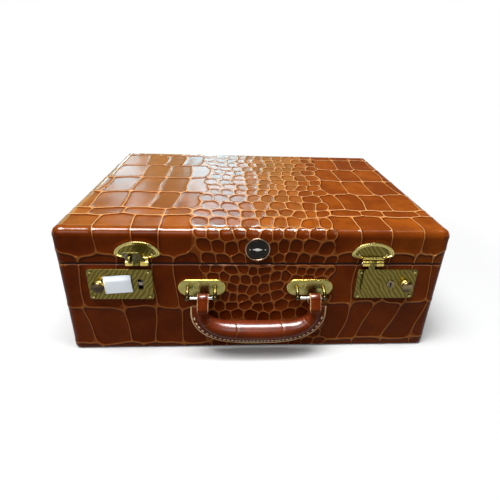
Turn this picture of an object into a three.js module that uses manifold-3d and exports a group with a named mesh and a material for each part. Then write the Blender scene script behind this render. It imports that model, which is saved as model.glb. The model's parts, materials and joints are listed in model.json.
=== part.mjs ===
// Vanity case with a hinged lid, two spring hasp locks and a padded swing handle.
// Millimetres, +X to the right, +Y to the back, +Z up, origin under the middle of the case.
import * as THREE from "three";
import { mergeVertices } from "three/addons/utils/BufferGeometryUtils.js";
import Module from "manifold-3d";

// Case body
const case_width = 406;
const case_depth = 300;
const case_height = 150;
const lid_height = 40;
const seam_gap = 0.4;
const corner_radius = 9;
const lid_edge_radius = 9;
const base_edge_radius = 4;
const least_radius = 0.5;

// Wall layers, from the outside in
const hide_thickness = 1.2;
const glue_gap = 0.3;
const board_thickness = 5;
const lining_thickness = 1;

// Mirror in the lid
const mirror_width = 300;
const mirror_depth = 200;
const mirror_thickness = 2.5;
const mirror_radius = 4;
const frame_width = 14;
const frame_thickness = 4.5;
const frame_lap = 4;
const frame_radius = 10;
const frame_bevel = 1;

// Lid hinges
const hinge_place_share = 0.325;
const hinge_width = 52;
const leaf_height = 19;
const leaf_thickness = 1.2;
const leaf_radius = 3;
const barrel_radius = 3;
const barrel_bore = 1.55;
const hinge_pin_radius = 1.5;
const hinge_pin_head = 2.2;
const hinge_pin_head_height = 0.8;
const barrel_standoff = 0.5;
const knuckle_gap = 0.3;
const middle_knuckle_share = 0.36;

// Lock plates and the cases behind them
const lock_place_share = 0.3463;
const lock_below_seam = 23.2;
const lock_plate_width = 66;
const lock_plate_height = 36.6;
const lock_plate_thickness = 1.6;
const lock_plate_radius = 2.5;
const lock_plate_bevel = 0.5;
const lock_case_width = 62.4;
const lock_case_height = 26;
const lock_case_wall = 0.8;
const lock_rivet_inset_x = 4;
const lock_rivet_inset_z = 3.3;

// Round-headed rivets
const rivet_head_radius = 1.7;
const rivet_head_height = 1.1;
const rivet_shank_radius = 1;
const rivet_bite = 2.4;

// Slide bolt, its knob and its spring
const bolt_thickness = 1.6;
const bolt_travel = 5.5;
const bolt_nose_height = 4;
const bolt_body_height = 15;
const bolt_body_length = 31.7;
const bolt_nose_past_staple = 2;
const bolt_tail_past_stem = 1.2;
const bolt_arm_width = 2;
const bolt_nose_taper = 1;
const knob_place_in_plate = 21.4;
const knob_head_radius = 6.7;
const knob_head_height = 3.6;
const knob_waist_radius = 3.6;
const knob_collar_radius = 4.9;
const knob_collar_height = 1.8;
const knob_height = 9.2;
const knob_dome = 0.9;
const stem_radius = 2;
const stem_below_bolt = 1;
const bolt_spring_wire = 0.7;
const bolt_spring_radius = 1.5;
const bolt_spring_turns = 6;
const bolt_spring_length = 13.5;
const bolt_spring_post = 2;
const guide_length = 4;

// Key plug
const plug_place_in_plate = 5.4;
const plug_head_radius = 4.7;
const plug_head_height = 0.9;
const plug_body_radius = 4;
const plug_dish = 0.35;
const key_slot_width = 1.5;
const key_slot_length = 5;
const key_slot_depth = 3;

// Hasp plates on the lid
const hasp_place_in_plate = 20.1;
const hasp_axis_above_seam = 4.4;
const hasp_axis_standoff = 4.2;
const hasp_plate_width = 45;
const hasp_plate_rise = 13.8;
const hasp_plate_drop = 5;
const hasp_plate_above_axis = 8.8;
const hasp_plate_thickness = 2.2;
const hasp_plate_bevel = 0.6;
const hasp_plate_rim = 2.7;
const hasp_plate_recess = 0.9;
const hasp_rivet_place = 14.3;
const ear_span = 22.4;
const ear_radius = 3.2;
const ear_bore = 1.3;
const hasp_pin_radius = 1.1;
const ridge_radius = 1.6;
const ridge_above_axis = 5.3;
const ridge_standoff = 3.7;

// Hasps that swing on the lid and lock into the plates
const hasp_open_angle = 136;
const hasp_knuckle_width = 6.4;
const hasp_knuckle_bore = 2.35;
const hasp_width = 18;
const hasp_side_shift = 1.6;
const hasp_below_lock = 8.8;
const hasp_shoulder = 7;
const hasp_thickness = 1.3;
const hasp_standoff = 3;
const hasp_corner_radius = 3;
const hasp_bevel = 0.3;
const hasp_spring_wire = 0.5;
const hasp_spring_radius = 1.97;
const hasp_spring_turns = 4;
const hasp_spring_length = 5;
const staple_width = 2.4;
const staple_height = 9;
const staple_bar = 1.2;
const staple_leg = 1.9;
const staple_slot_width = 4.8;
const staple_slot_height = 11.9;

// Badge on the lid
const badge_above_seam = 18.3;
const badge_radius = 13;
const badge_ring_width = 1.6;
const badge_ring_height = 1.8;
const badge_disc_height = 1.2;
const badge_dome = 0.4;

// Handle mounts and the pins across them
const mount_place = 57.5;
const mount_below_seam = 27.4;
const mount_width = 50;
const mount_height = 19.8;
const mount_thickness = 2;
const mount_bevel = 0.7;
const lug_place = 14.3;
const lug_radius = 2;
const lug_ball_radius = 3.2;
const lug_rise = 1.4;
const mount_tail_radius = 1.8;
const mount_tail_length = 5.4;
const pin_below_mount = 5;
const pin_standoff = 13;
const pin_radius = 1.6;

// Padded handle
const handle_shift = 3;
const handle_half_span = 58.6;
const grip_drop = 42.3;
const grip_top = 9.5;
const grip_radius = 10.6;
const grip_hide = 1.6;
const welt_height = 7;
const welt_thickness = 3.2;
const strap_width = 13;
const strap_thickness = 2.6;
const strap_slack = 0.4;
const strap_tongue_drop = 21;
const strap_tip_radius = 6;

// Clearances and cutting
const fit_gap = 0.3;
const running_gap = 0.2;
const overrun = 5;

// Shares along half the handle, from the middle of the grip out to its end
const grip_across_shares = [0, 0.34, 0.64, 0.84, 0.955, 1, 1.005];
const grip_down_shares = [1, 0.985, 0.925, 0.78, 0.575, 0.36, 0];
const grip_radius_shares = [1, 0.99, 0.9, 0.78, 0.68, 0.6, 0.56];
const strap_tip_share = 0.15;

// Counts of facets
const corner_steps = 4;
const edge_steps = 4;
const small_round_steps = 3;
const rivet_sides = 8;
const pin_sides = 12;
const knob_sides = 16;
const plug_sides = 16;
const hasp_outline_steps = 26;
const badge_sides = 26;
const lug_sides = 8;
const lug_steps = 4;
const ball_sides = 10;
const ball_steps = 6;
const grip_steps = 26;
const grip_sides = 12;
const strap_loop_steps = 8;
const strap_tip_steps = 4;
const coil_steps = 8;
const coil_sides = 5;

// Sizes worked out from the ones above
const quarter_turn = Math.PI / 2;
const full_turn = Math.PI * 2;
const base_height = case_height - lid_height;
const lid_floor = base_height + seam_gap;
const lid_shell_height = case_height - lid_floor;
const board_inset = hide_thickness + glue_gap;
const rim_width = board_inset + board_thickness;
const lining_inset = rim_width + glue_gap;
const cavity_inset = lining_inset + lining_thickness;
const front = -case_depth / 2;
const back = case_depth / 2;
const lock_case_depth = rim_width - running_gap;
const lock_case_floor = lock_case_depth - lock_case_wall;
const bolt_front_depth = fit_gap;
const bolt_back_depth = bolt_front_depth + bolt_thickness;
const hinge_place = hinge_place_share * case_width;
const lock_place = lock_place_share * case_width;
const lock_level = base_height - lock_below_seam;
const hasp_place = lock_place - hasp_place_in_plate;
const hasp_axis_level = base_height + hasp_axis_above_seam;
const hasp_length = hasp_axis_level - lock_level + hasp_below_lock;
const badge_level = base_height + badge_above_seam;
const mount_level = base_height - mount_below_seam;
const pin_level = mount_level - pin_below_mount;
const hinge_axis_level = base_height + seam_gap / 2;
const hinge_axis_standoff = barrel_radius + barrel_standoff;

// Colours
const hide_brown = 0x6e2408;
const board_tan = 0xb08a5a;
const lining_gold = 0xb79a6b;
const aged_brass = 0x7a6d2a;
const bright_brass = 0xb89a4a;
const worn_nickel = 0x8f8672;
const steel = 0x9a9a96;
const glass = 0xcfd6d8;
const enamel_black = 0x16120f;
const gilt = 0xa8794a;

const wasm = await Module();
wasm.setup();

// Exact quarter turns, so that flat faces stay flat
const axis_x = new THREE.Vector3(1, 0, 0);
const axis_y = new THREE.Vector3(0, 1, 0);
const axis_z = new THREE.Vector3(0, 0, 1);
const minus_x = new THREE.Vector3(-1, 0, 0);
const minus_y = new THREE.Vector3(0, -1, 0);
const minus_z = new THREE.Vector3(0, 0, -1);
const facing_front = new THREE.Matrix4().makeBasis(axis_x, axis_z, minus_y);
const facing_back = new THREE.Matrix4().makeBasis(minus_x, axis_z, axis_y);
const upturned = new THREE.Matrix4().makeBasis(axis_x, minus_y, minus_z);
const lying_along_x = new THREE.Matrix4().makeBasis(axis_y, axis_x, minus_z);

// Welds the corners of a closed geometry and drops the triangles that this makes flat.
function welded(geometry) {
  const bare = new THREE.BufferGeometry();
  bare.setAttribute("position", geometry.getAttribute("position").clone());
  bare.setIndex(geometry.index);
  const merged = mergeVertices(bare);
  const corners = merged.index.array;
  const kept = [];
  for (let i = 0; i < corners.length; i += 3) {
    const triangle = [corners[i], corners[i + 1], corners[i + 2]];
    if (new Set(triangle).size === triangle.length) {
      kept.push(...triangle);
    }
  }
  merged.setIndex(kept);
  return merged;
}

function toManifold(geometry) {
  const closed = welded(geometry);
  const mesh = new wasm.Mesh({
    numProp: 3,
    vertProperties: new Float32Array(closed.getAttribute("position").array),
    triVerts: new Uint32Array(closed.index.array),
  });
  return new wasm.Manifold(mesh);
}

function fromManifold(manifold) {
  const mesh = manifold.getMesh();
  const geometry = new THREE.BufferGeometry();
  geometry.setAttribute("position", new THREE.BufferAttribute(mesh.vertProperties, mesh.numProp));
  geometry.setIndex(new THREE.BufferAttribute(mesh.triVerts, 1));
  return geometry;
}

function join(first, ...others) {
  return fromManifold(others.reduce((sum, other) => sum.add(toManifold(other)), toManifold(first)));
}

function cut(first, ...tools) {
  return fromManifold(tools.reduce((rest, tool) => rest.subtract(toManifold(tool)), toManifold(first)));
}

// Skins a row of rings that have equally many points, each counterclockwise about the way along.
function loft(rings) {
  const around = rings[0].length;
  const points = rings.flat();
  const corners = [];
  for (let i = 0; i < rings.length - 1; i += 1) {
    for (let j = 0; j < around; j += 1) {
      const next = (j + 1) % around;
      const low = i * around;
      const high = low + around;
      corners.push(low + j, low + next, high + next);
      corners.push(low + j, high + next, high + j);
    }
  }
  const ends = [rings[0], rings[rings.length - 1]];
  const middles = ends.map((ring) => {
    const sum = ring.reduce((total, point) => total.add(point), new THREE.Vector3());
    return sum.divideScalar(around);
  });
  const first_middle = points.length;
  const last_middle = first_middle + 1;
  const last_ring = (rings.length - 1) * around;
  for (let j = 0; j < around; j += 1) {
    const next = (j + 1) % around;
    corners.push(first_middle, next, j);
    corners.push(last_middle, last_ring + j, last_ring + next);
  }
  const geometry = new THREE.BufferGeometry().setFromPoints([...points, ...middles]);
  geometry.setIndex(corners);
  return geometry;
}

// Outlines as lists of points, counterclockwise

function circlePoints(x, y, radius, sides) {
  const points = [];
  for (let i = 0; i < sides; i += 1) {
    const angle = (i / sides) * full_turn;
    points.push(new THREE.Vector2(x + radius * Math.cos(angle), y + radius * Math.sin(angle)));
  }
  return points;
}

function roundedPoints(x, y, width, height, radius, steps) {
  const round = Math.min(radius, width / 2, height / 2);
  const signs = [[1, -1], [1, 1], [-1, 1], [-1, -1]];
  const points = [];
  signs.forEach(([across, up], corner) => {
    const centre_x = x + across * (width / 2 - round);
    const centre_y = y + up * (height / 2 - round);
    for (let i = 0; i <= steps; i += 1) {
      const angle = (corner - 1 + i / steps) * quarter_turn;
      points.push(new THREE.Vector2(centre_x + round * Math.cos(angle), centre_y + round * Math.sin(angle)));
    }
  });
  return points;
}

// A lens whose upper half rises more than its lower half drops
function lensPoints(width, rise, drop, steps) {
  const points = [];
  for (let i = 0; i < steps; i += 1) {
    const angle = (i / steps) * full_turn;
    const height = angle < Math.PI ? rise : drop;
    points.push(new THREE.Vector2((width / 2) * Math.cos(angle), height * Math.sin(angle)));
  }
  return points;
}

// A plate drawn flat, its back at zero and its front bevelled
function plate(outline, holes, thickness, bevel) {
  const shape = new THREE.Shape(outline);
  shape.holes = holes.map((points) => new THREE.Path(points));
  const options = {
    depth: thickness - 2 * bevel,
    bevelEnabled: bevel > 0,
    bevelThickness: bevel,
    bevelSize: bevel,
    bevelOffset: -bevel,
    bevelSegments: 1,
    curveSegments: 1,
  };
  return new THREE.ExtrudeGeometry(shape, options).translate(0, 0, bevel);
}

function block(width, depth, height) {
  return new THREE.BoxGeometry(width, depth, height);
}

function rodAlongX(radius, length, sides) {
  return new THREE.CylinderGeometry(radius, radius, length, sides).applyMatrix4(lying_along_x);
}

function rodAlongZ(radius, length, sides) {
  return new THREE.CylinderGeometry(radius, radius, length, sides).applyMatrix4(facing_front);
}

// A turned piece whose axis is Z, from a profile of radius and height
function turned(profile, sides) {
  const points = profile.map(([radius, height]) => new THREE.Vector2(radius, height));
  return new THREE.LatheGeometry(points, sides).applyMatrix4(facing_front);
}

// A tube of constant radius along a curve
function tube(curve, radius, steps, sides) {
  const frames = curve.computeFrenetFrames(steps);
  const rings = [];
  for (let i = 0; i <= steps; i += 1) {
    const centre = curve.getPointAt(i / steps);
    const ring = circlePoints(0, 0, radius, sides).map((point) => {
      const across = frames.normals[i].clone().multiplyScalar(point.x);
      const over = frames.binormals[i].clone().multiplyScalar(point.y);
      return centre.clone().add(across).add(over);
    });
    rings.push(ring);
  }
  return loft(rings);
}

class Helix extends THREE.Curve {
  constructor(radius, length, turns) {
    super();
    this.radius = radius;
    this.length = length;
    this.turns = turns;
  }

  getPoint(share) {
    const angle = share * this.turns * full_turn;
    const along = (share - 0.5) * this.length;
    return new THREE.Vector3(along, this.radius * Math.cos(angle), this.radius * Math.sin(angle));
  }
}

// The least gap of a coil to itself, measured between points at least half a turn apart
function leastGap(helix, wire, turns) {
  const points = helix.getSpacedPoints(turns * coil_steps);
  let least = Infinity;
  points.forEach((point, i) => {
    for (const other of points.slice(i + coil_steps / 2)) {
      least = Math.min(least, point.distanceTo(other) - wire);
    }
  });
  return least;
}

// A coil spring along X
function coil(name, outer_radius, wire, length, turns) {
  const helix = new Helix(outer_radius - wire / 2, length - wire, turns);
  console.log(`${name}: least gap to itself ${leastGap(helix, wire, turns).toFixed(2)} mm`);
  return tube(helix, wire / 2, turns * coil_steps, coil_sides);
}

function material(colour, roughness, metalness) {
  return new THREE.MeshStandardMaterial({ color: colour, roughness, metalness });
}

function piece(name, geometry, colour, roughness, metalness) {
  const flat = geometry.index ? geometry.toNonIndexed() : geometry;
  flat.computeVertexNormals();
  const mesh = new THREE.Mesh(flat, material(colour, roughness, metalness));
  mesh.name = name;
  return mesh;
}

const brass = (name, geometry) => piece(name, geometry, aged_brass, 0.38, 0.9);
const shiny = (name, geometry) => piece(name, geometry, bright_brass, 0.25, 0.95);
const nickel = (name, geometry) => piece(name, geometry, worn_nickel, 0.35, 0.9);
const steely = (name, geometry) => piece(name, geometry, steel, 0.3, 1);
const leather = (name, geometry) => piece(name, geometry, hide_brown, 0.28, 0);

// Shells of the case

function ringAt(inset, level) {
  const radius = Math.max(corner_radius - inset, least_radius);
  const width = case_width - 2 * inset;
  const depth = case_depth - 2 * inset;
  const outline = roundedPoints(0, 0, width, depth, radius, corner_steps);
  return outline.map((point) => new THREE.Vector3(point.x, point.y, level));
}

// A block with rounded upright corners and a rounded edge round its closed top
function loaf(inset, height, edge_radius) {
  const edge = Math.max(edge_radius - inset, least_radius);
  const rings = [ringAt(inset, 0)];
  for (let i = 0; i <= edge_steps; i += 1) {
    const angle = (i / edge_steps) * quarter_turn;
    const level = height - edge + edge * Math.sin(angle);
    rings.push(ringAt(inset + edge * (1 - Math.cos(angle)), level));
  }
  return loft(rings);
}

function tray(inset, wall, height, edge_radius) {
  const outside = loaf(inset, height, edge_radius);
  const inside = loaf(inset + wall, height - wall + overrun, edge_radius).translate(0, 0, -overrun);
  return cut(outside, inside);
}

// The hide goes over the outside and is turned in over the rim of the board.
function hideShell(height, edge_radius) {
  const outside = loaf(0, height, edge_radius);
  const room = loaf(hide_thickness, height - 2 * hide_thickness, edge_radius);
  const mouth = loft([ringAt(rim_width, -overrun), ringAt(rim_width, board_thickness)]);
  return cut(outside, room.translate(0, 0, hide_thickness), mouth);
}

function boardShell(height, edge_radius) {
  const shell = tray(board_inset, board_thickness, height - 2 * board_inset, edge_radius);
  return shell.translate(0, 0, board_inset);
}

function liningShell(height, edge_radius) {
  return tray(lining_inset, lining_thickness, height - lining_inset, edge_radius);
}

// Turns a shell mouth up, as the base stands
function standing(geometry) {
  return geometry.applyMatrix4(upturned).translate(0, 0, base_height);
}

// Holes that the fittings need in the walls behind them

function frontHole(x, level, radius, depth) {
  const tool = rodAlongZ(radius + fit_gap, depth + overrun, rivet_sides);
  tool.translate(0, 0, (overrun - depth) / 2).applyMatrix4(facing_front);
  return tool.translate(x, front, level);
}

const sides = [{ name: "left", sign: -1 }, { name: "right", sign: 1 }];
const rivet_depth = board_inset + rivet_bite;
const lock_rivet_x = lock_plate_width / 2 - lock_rivet_inset_x;
const lock_rivet_z = lock_plate_height / 2 - lock_rivet_inset_z;
const lock_rivets = [[-1, 1], [1, 1], [-1, -1], [1, -1]].map(([across, up]) => {
  return [across * lock_rivet_x, up * lock_rivet_z];
});
const hasp_plate_level = hasp_axis_level + hasp_plate_above_axis;

function lockWindow(sign) {
  const depth = overrun + rim_width + glue_gap / 2;
  const width = lock_case_width + 2 * fit_gap;
  const height = lock_case_height + 2 * fit_gap;
  return block(width, depth, height).translate(sign * lock_place, front - overrun + depth / 2, lock_level);
}

const base_tools = sides.flatMap(({ sign }) => {
  const rivets = lock_rivets.map(([x, z]) => {
    return frontHole(sign * lock_place + x, lock_level + z, rivet_shank_radius, rivet_depth + fit_gap);
  });
  const tails = [-1, 1].map((across) => {
    const x = sign * mount_place + across * lug_place;
    return frontHole(x, mount_level, mount_tail_radius, mount_tail_length + fit_gap);
  });
  return [lockWindow(sign), ...rivets, ...tails];
});

const lid_tools = sides.flatMap(({ sign }) => [-1, 1].map((across) => {
  const x = sign * hasp_place + across * hasp_rivet_place;
  return frontHole(x, hasp_plate_level, rivet_shank_radius, rivet_depth + fit_gap);
}));

const base = new THREE.Group();
base.add(
  leather("base_covering", cut(standing(hideShell(base_height, base_edge_radius)), ...base_tools)),
  piece("base_board", cut(standing(boardShell(base_height, base_edge_radius)), ...base_tools), board_tan, 0.8, 0),
  piece("base_lining", standing(liningShell(base_height, base_edge_radius)), lining_gold, 0.9, 0),
);

function onLid(geometry) {
  return geometry.translate(0, 0, lid_floor);
}

const lid = new THREE.Group();
lid.add(
  leather("lid_covering", cut(onLid(hideShell(lid_shell_height, lid_edge_radius)), ...lid_tools)),
  piece("lid_board", cut(onLid(boardShell(lid_shell_height, lid_edge_radius)), ...lid_tools), board_tan, 0.8, 0),
  piece("lid_lining", onLid(liningShell(lid_shell_height, lid_edge_radius)), lining_gold, 0.9, 0),
);

// Mirror and the padded frame that holds it against the lid lining

const lid_ceiling = case_height - cavity_inset;
const frame_outer_width = mirror_width + 2 * (frame_width - frame_lap);
const frame_outer_depth = mirror_depth + 2 * (frame_width - frame_lap);

function mirrorFrame() {
  const outline = roundedPoints(0, 0, frame_outer_width, frame_outer_depth, frame_radius, small_round_steps);
  const sight_width = mirror_width - 2 * frame_lap;
  const sight_depth = mirror_depth - 2 * frame_lap;
  const sight = roundedPoints(0, 0, sight_width, sight_depth, mirror_radius, small_round_steps);
  const ring = plate(outline, [sight], frame_thickness, frame_bevel);
  const rebate_width = mirror_width + 2 * fit_gap;
  const rebate_depth = mirror_depth + 2 * fit_gap;
  const rebate_height = mirror_thickness + fit_gap + overrun;
  const rebate = block(rebate_width, rebate_depth, rebate_height);
  const rebate_floor = frame_thickness - mirror_thickness - fit_gap;
  return cut(ring, rebate.translate(0, 0, rebate_floor + rebate_height / 2));
}

const mirror_outline = roundedPoints(0, 0, mirror_width, mirror_depth, mirror_radius, small_round_steps);
const mirror = piece("lid_mirror", plate(mirror_outline, [], mirror_thickness, 0), glass, 0.05, 1);
mirror.position.z = lid_ceiling - mirror_thickness;
const mirror_frame = piece("mirror_frame", mirrorFrame(), lining_gold, 0.85, 0);
mirror_frame.position.z = lid_ceiling - frame_thickness;
lid.add(mirror, mirror_frame);

// Lid hinges: drawn with X across, Y up from the pin and Z out from the back of the case

const middle_knuckle = hinge_width * middle_knuckle_share;
const outer_knuckle = (hinge_width - middle_knuckle) / 2 - knuckle_gap;
const knuckle_places = [-1, 0, 1].map((across) => across * (hinge_width - outer_knuckle) / 2);

function barrelRod(place, length, radius) {
  return rodAlongX(radius, length, pin_sides).translate(place, 0, hinge_axis_standoff);
}

// Each leaf is cut clear of the knuckles that belong to the other leaf.
function hingeLeaf(up, own, foreign) {
  const height = leaf_height + seam_gap / 2;
  const outline = roundedPoints(0, up * (height / 2), hinge_width, height, leaf_radius, small_round_steps);
  const leaf = plate(outline, [], leaf_thickness, 0);
  const seam_half = seam_gap / 2 + running_gap;
  const seam_tool = block(hinge_width + overrun, 2 * seam_half, overrun);
  const clear = foreign.map(([place, length]) => {
    return barrelRod(place, length + 2 * knuckle_gap, barrel_radius + running_gap);
  });
  const shy_leaf = cut(leaf, seam_tool, ...clear);
  const knuckles = own.map(([place, length]) => {
    const roll = barrelRod(place, length, barrel_radius);
    const web_height = barrel_radius + seam_half;
    const web = block(length, web_height, hinge_axis_standoff);
    web.translate(place, up * (web_height / 2), hinge_axis_standoff / 2);
    return [roll, web];
  });
  const whole = join(shy_leaf, ...knuckles.flat());
  const bore = rodAlongX(barrel_bore, hinge_width + overrun, pin_sides).translate(0, 0, hinge_axis_standoff);
  return cut(whole, bore).applyMatrix4(facing_back);
}

function hingePin() {
  const half = hinge_width / 2 + fit_gap;
  const profile = [
    [0, -half - hinge_pin_head_height],
    [hinge_pin_head, -half - hinge_pin_head_height],
    [hinge_pin_head, -half],
    [hinge_pin_radius, -half],
    [hinge_pin_radius, half],
    [hinge_pin_head, half],
    [hinge_pin_head, half + hinge_pin_head_height],
    [0, half + hinge_pin_head_height],
  ];
  return turned(profile, pin_sides).applyMatrix4(new THREE.Matrix4().makeBasis(minus_z, axis_y, axis_x));
}

for (const { name, sign } of sides) {
  const outer = [[knuckle_places[0], outer_knuckle], [knuckle_places[2], outer_knuckle]];
  const inner = [[knuckle_places[1], middle_knuckle]];
  const base_leaf = brass(`${name}_hinge_base_leaf`, hingeLeaf(-1, outer, inner));
  const lid_leaf = brass(`${name}_hinge_lid_leaf`, hingeLeaf(1, inner, outer));
  const pin = steely(`${name}_hinge_pin`, hingePin());
  base_leaf.position.set(sign * hinge_place, back, hinge_axis_level);
  lid_leaf.position.copy(base_leaf.position);
  pin.position.set(sign * hinge_place, back + hinge_axis_standoff, hinge_axis_level);
  base.add(base_leaf, pin);
  lid.add(lid_leaf);
}

// Rivet with its head on the surface at zero and its shank below
function rivet(shank) {
  const profile = [
    [0, -shank],
    [rivet_shank_radius, -shank],
    [rivet_shank_radius, 0],
    [rivet_head_radius, 0],
    [rivet_head_radius * Math.cos(quarter_turn / 2), rivet_head_height * Math.sin(quarter_turn / 2)],
    [0, rivet_head_height],
  ];
  return turned(profile, rivet_sides).applyMatrix4(facing_front);
}

// Locks: drawn with X outward, Y up and Z out from the front of the case

const staple_place = -hasp_place_in_plate;
const bolt_tip = staple_place - staple_width / 2 - bolt_nose_past_staple;
const bolt_tail = knob_place_in_plate + stem_radius + bolt_tail_past_stem;
const bolt_shoulder = bolt_tail - bolt_body_length;
const arm_bottom = -(lock_case_height / 2 - lock_case_wall - fit_gap);
const spring_level = (arm_bottom - bolt_body_height / 2 - fit_gap) / 2;
const spring_start = bolt_shoulder + bolt_arm_width + fit_gap;
const spring_depth = bolt_front_depth + bolt_spring_radius;

function lockPlate(sign) {
  const outline = roundedPoints(0, 0, lock_plate_width, lock_plate_height, lock_plate_radius, small_round_steps);
  const rivet_holes = lock_rivets.map(([x, z]) => {
    return circlePoints(x, z, rivet_shank_radius + running_gap, rivet_sides);
  });
  const staple_x = sign * staple_place;
  const staple_hole = roundedPoints(
    staple_x, 0, staple_slot_width, staple_slot_height, staple_slot_width / 4, small_round_steps,
  );
  const plug_hole = circlePoints(sign * plug_place_in_plate, 0, plug_body_radius + running_gap, plug_sides);
  const stem_width = 2 * (stem_radius + fit_gap);
  const stem_x = sign * (knob_place_in_plate + bolt_travel / 2);
  const stem_hole = roundedPoints(
    stem_x, 0, stem_width + bolt_travel, stem_width, stem_width / 2, small_round_steps,
  );
  const holes = [...rivet_holes, staple_hole, plug_hole, stem_hole];
  const geometry = plate(outline, holes, lock_plate_thickness, lock_plate_bevel);
  return geometry.applyMatrix4(facing_front);
}

function lockCase(sign) {
  const inner_width = lock_case_width - 2 * lock_case_wall;
  const inner_height = lock_case_height - 2 * lock_case_wall;
  const outside = block(lock_case_width, lock_case_height, lock_case_depth);
  outside.translate(0, 0, -lock_case_depth / 2);
  const room = block(inner_width, inner_height, lock_case_floor + overrun);
  room.translate(0, 0, (overrun - lock_case_floor) / 2);
  const guide_height = lock_case_floor - bolt_back_depth - fit_gap + lock_case_wall / 2;
  const guide_level = -bolt_back_depth - fit_gap - guide_height / 2;
  const nose_guide_x = (bolt_shoulder + staple_place + staple_slot_width / 2) / 2;
  const nose_guide = block(guide_length, bolt_nose_height, guide_height);
  nose_guide.translate(sign * nose_guide_x, 0, guide_level);
  const body_guide_x = (plug_place_in_plate + plug_body_radius + knob_place_in_plate - stem_radius) / 2;
  const body_guide = block(guide_length, bolt_body_height / 2, guide_height);
  body_guide.translate(sign * body_guide_x, 0, guide_level);
  const post_height = lock_case_floor - bolt_front_depth + lock_case_wall / 2;
  const post_x = spring_start + bolt_spring_length + fit_gap + bolt_spring_post / 2;
  const post = block(bolt_spring_post, 2 * bolt_spring_radius, post_height);
  post.translate(sign * post_x, spring_level, -bolt_front_depth - post_height / 2);
  return join(cut(outside, room), nose_guide, body_guide, post).applyMatrix4(facing_front);
}

// The flat bolt has a nose for the staple, a slot for the plug and an arm for the spring.
function slideBolt(sign) {
  const nose = bolt_nose_height / 2;
  const body = bolt_body_height / 2;
  const outline = [
    [bolt_tip, -nose + bolt_nose_taper],
    [bolt_tip + bolt_nose_taper, -nose],
    [bolt_shoulder, -nose],
    [bolt_shoulder, arm_bottom],
    [bolt_shoulder + bolt_arm_width, arm_bottom],
    [bolt_shoulder + bolt_arm_width, -body],
    [bolt_tail, -body],
    [bolt_tail, body],
    [bolt_shoulder, body],
    [bolt_shoulder, nose],
    [bolt_tip + bolt_nose_taper, nose],
    [bolt_tip, nose - bolt_nose_taper],
  ].map(([x, z]) => new THREE.Vector2(sign * x, z));
  const slot_height = 2 * (plug_body_radius + fit_gap);
  const slot_x = sign * (plug_place_in_plate - bolt_travel / 2);
  const slot = roundedPoints(
    slot_x, 0, slot_height + bolt_travel, slot_height, slot_height / 2, small_round_steps,
  );
  const stem_hole = circlePoints(sign * knob_place_in_plate, 0, stem_radius + running_gap, pin_sides);
  const geometry = plate(outline, [slot, stem_hole], bolt_thickness, 0);
  return geometry.translate(0, 0, -bolt_back_depth).applyMatrix4(facing_front);
}

// Knob with a waist and a domed head, on a stem that passes through the plate into the bolt
function slideKnob() {
  const foot = lock_plate_thickness + fit_gap;
  const top = foot + knob_height;
  const profile = [
    [0, -bolt_back_depth - stem_below_bolt],
    [stem_radius, -bolt_back_depth - stem_below_bolt],
    [stem_radius, foot],
    [knob_collar_radius, foot],
    [knob_collar_radius, foot + knob_collar_height / 2],
    [knob_waist_radius, foot + knob_collar_height],
    [knob_waist_radius, top - knob_head_height - knob_dome],
    [knob_head_radius - knob_dome, top - knob_head_height],
    [knob_head_radius, top - knob_head_height + knob_dome],
    [knob_head_radius, top - 2 * knob_dome],
    [knob_head_radius - knob_dome, top - knob_dome],
    [knob_waist_radius, top],
    [0, top],
  ];
  return turned(profile, knob_sides).applyMatrix4(facing_front);
}

function keyPlug() {
  const head_foot = lock_plate_thickness + running_gap / 2;
  const head_top = head_foot + plug_head_height;
  const profile = [
    [0, -lock_case_floor + running_gap],
    [plug_body_radius, -lock_case_floor + running_gap],
    [plug_body_radius, head_foot],
    [plug_head_radius, head_foot],
    [plug_head_radius, head_top - plug_dish],
    [plug_body_radius, head_top],
    [0, head_top],
  ];
  const key_slot = block(key_slot_width, key_slot_length, key_slot_depth + overrun);
  key_slot.translate(0, 0, head_top - key_slot_depth + (key_slot_depth + overrun) / 2);
  return cut(turned(profile, plug_sides), key_slot).applyMatrix4(facing_front);
}

for (const { name, sign } of sides) {
  const lock = new THREE.Group();
  lock.position.set(sign * lock_place, front, lock_level);
  lock.add(
    brass(`${name}_lock_plate`, lockPlate(sign)),
    steely(`${name}_lock_case`, lockCase(sign)),
    steely(`${name}_slide_bolt`, slideBolt(sign)),
  );
  const knob = nickel(`${name}_slide_knob`, slideKnob());
  knob.position.x = sign * knob_place_in_plate;
  const plug = nickel(`${name}_key_plug`, keyPlug());
  plug.position.x = sign * plug_place_in_plate;
  const spring_geometry = coil(
    "bolt spring", bolt_spring_radius, bolt_spring_wire, bolt_spring_length, bolt_spring_turns,
  );
  const spring = steely(`${name}_bolt_spring`, spring_geometry);
  spring.position.set(sign * (spring_start + bolt_spring_length / 2), spring_depth, spring_level);
  lock.add(knob, plug, spring);
  lock_rivets.forEach(([x, z], i) => {
    const head = brass(`${name}_lock_rivet_${i + 1}`, rivet(lock_plate_thickness + rivet_depth));
    head.position.set(x, -lock_plate_thickness, z);
    lock.add(head);
  });
  base.add(lock);
}

// Hasp plates on the lid: a dished lens with a rolled ridge and two ears for the pin.
// Drawn with X across, Y up from the pin and Z out from the front of the case.

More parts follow.
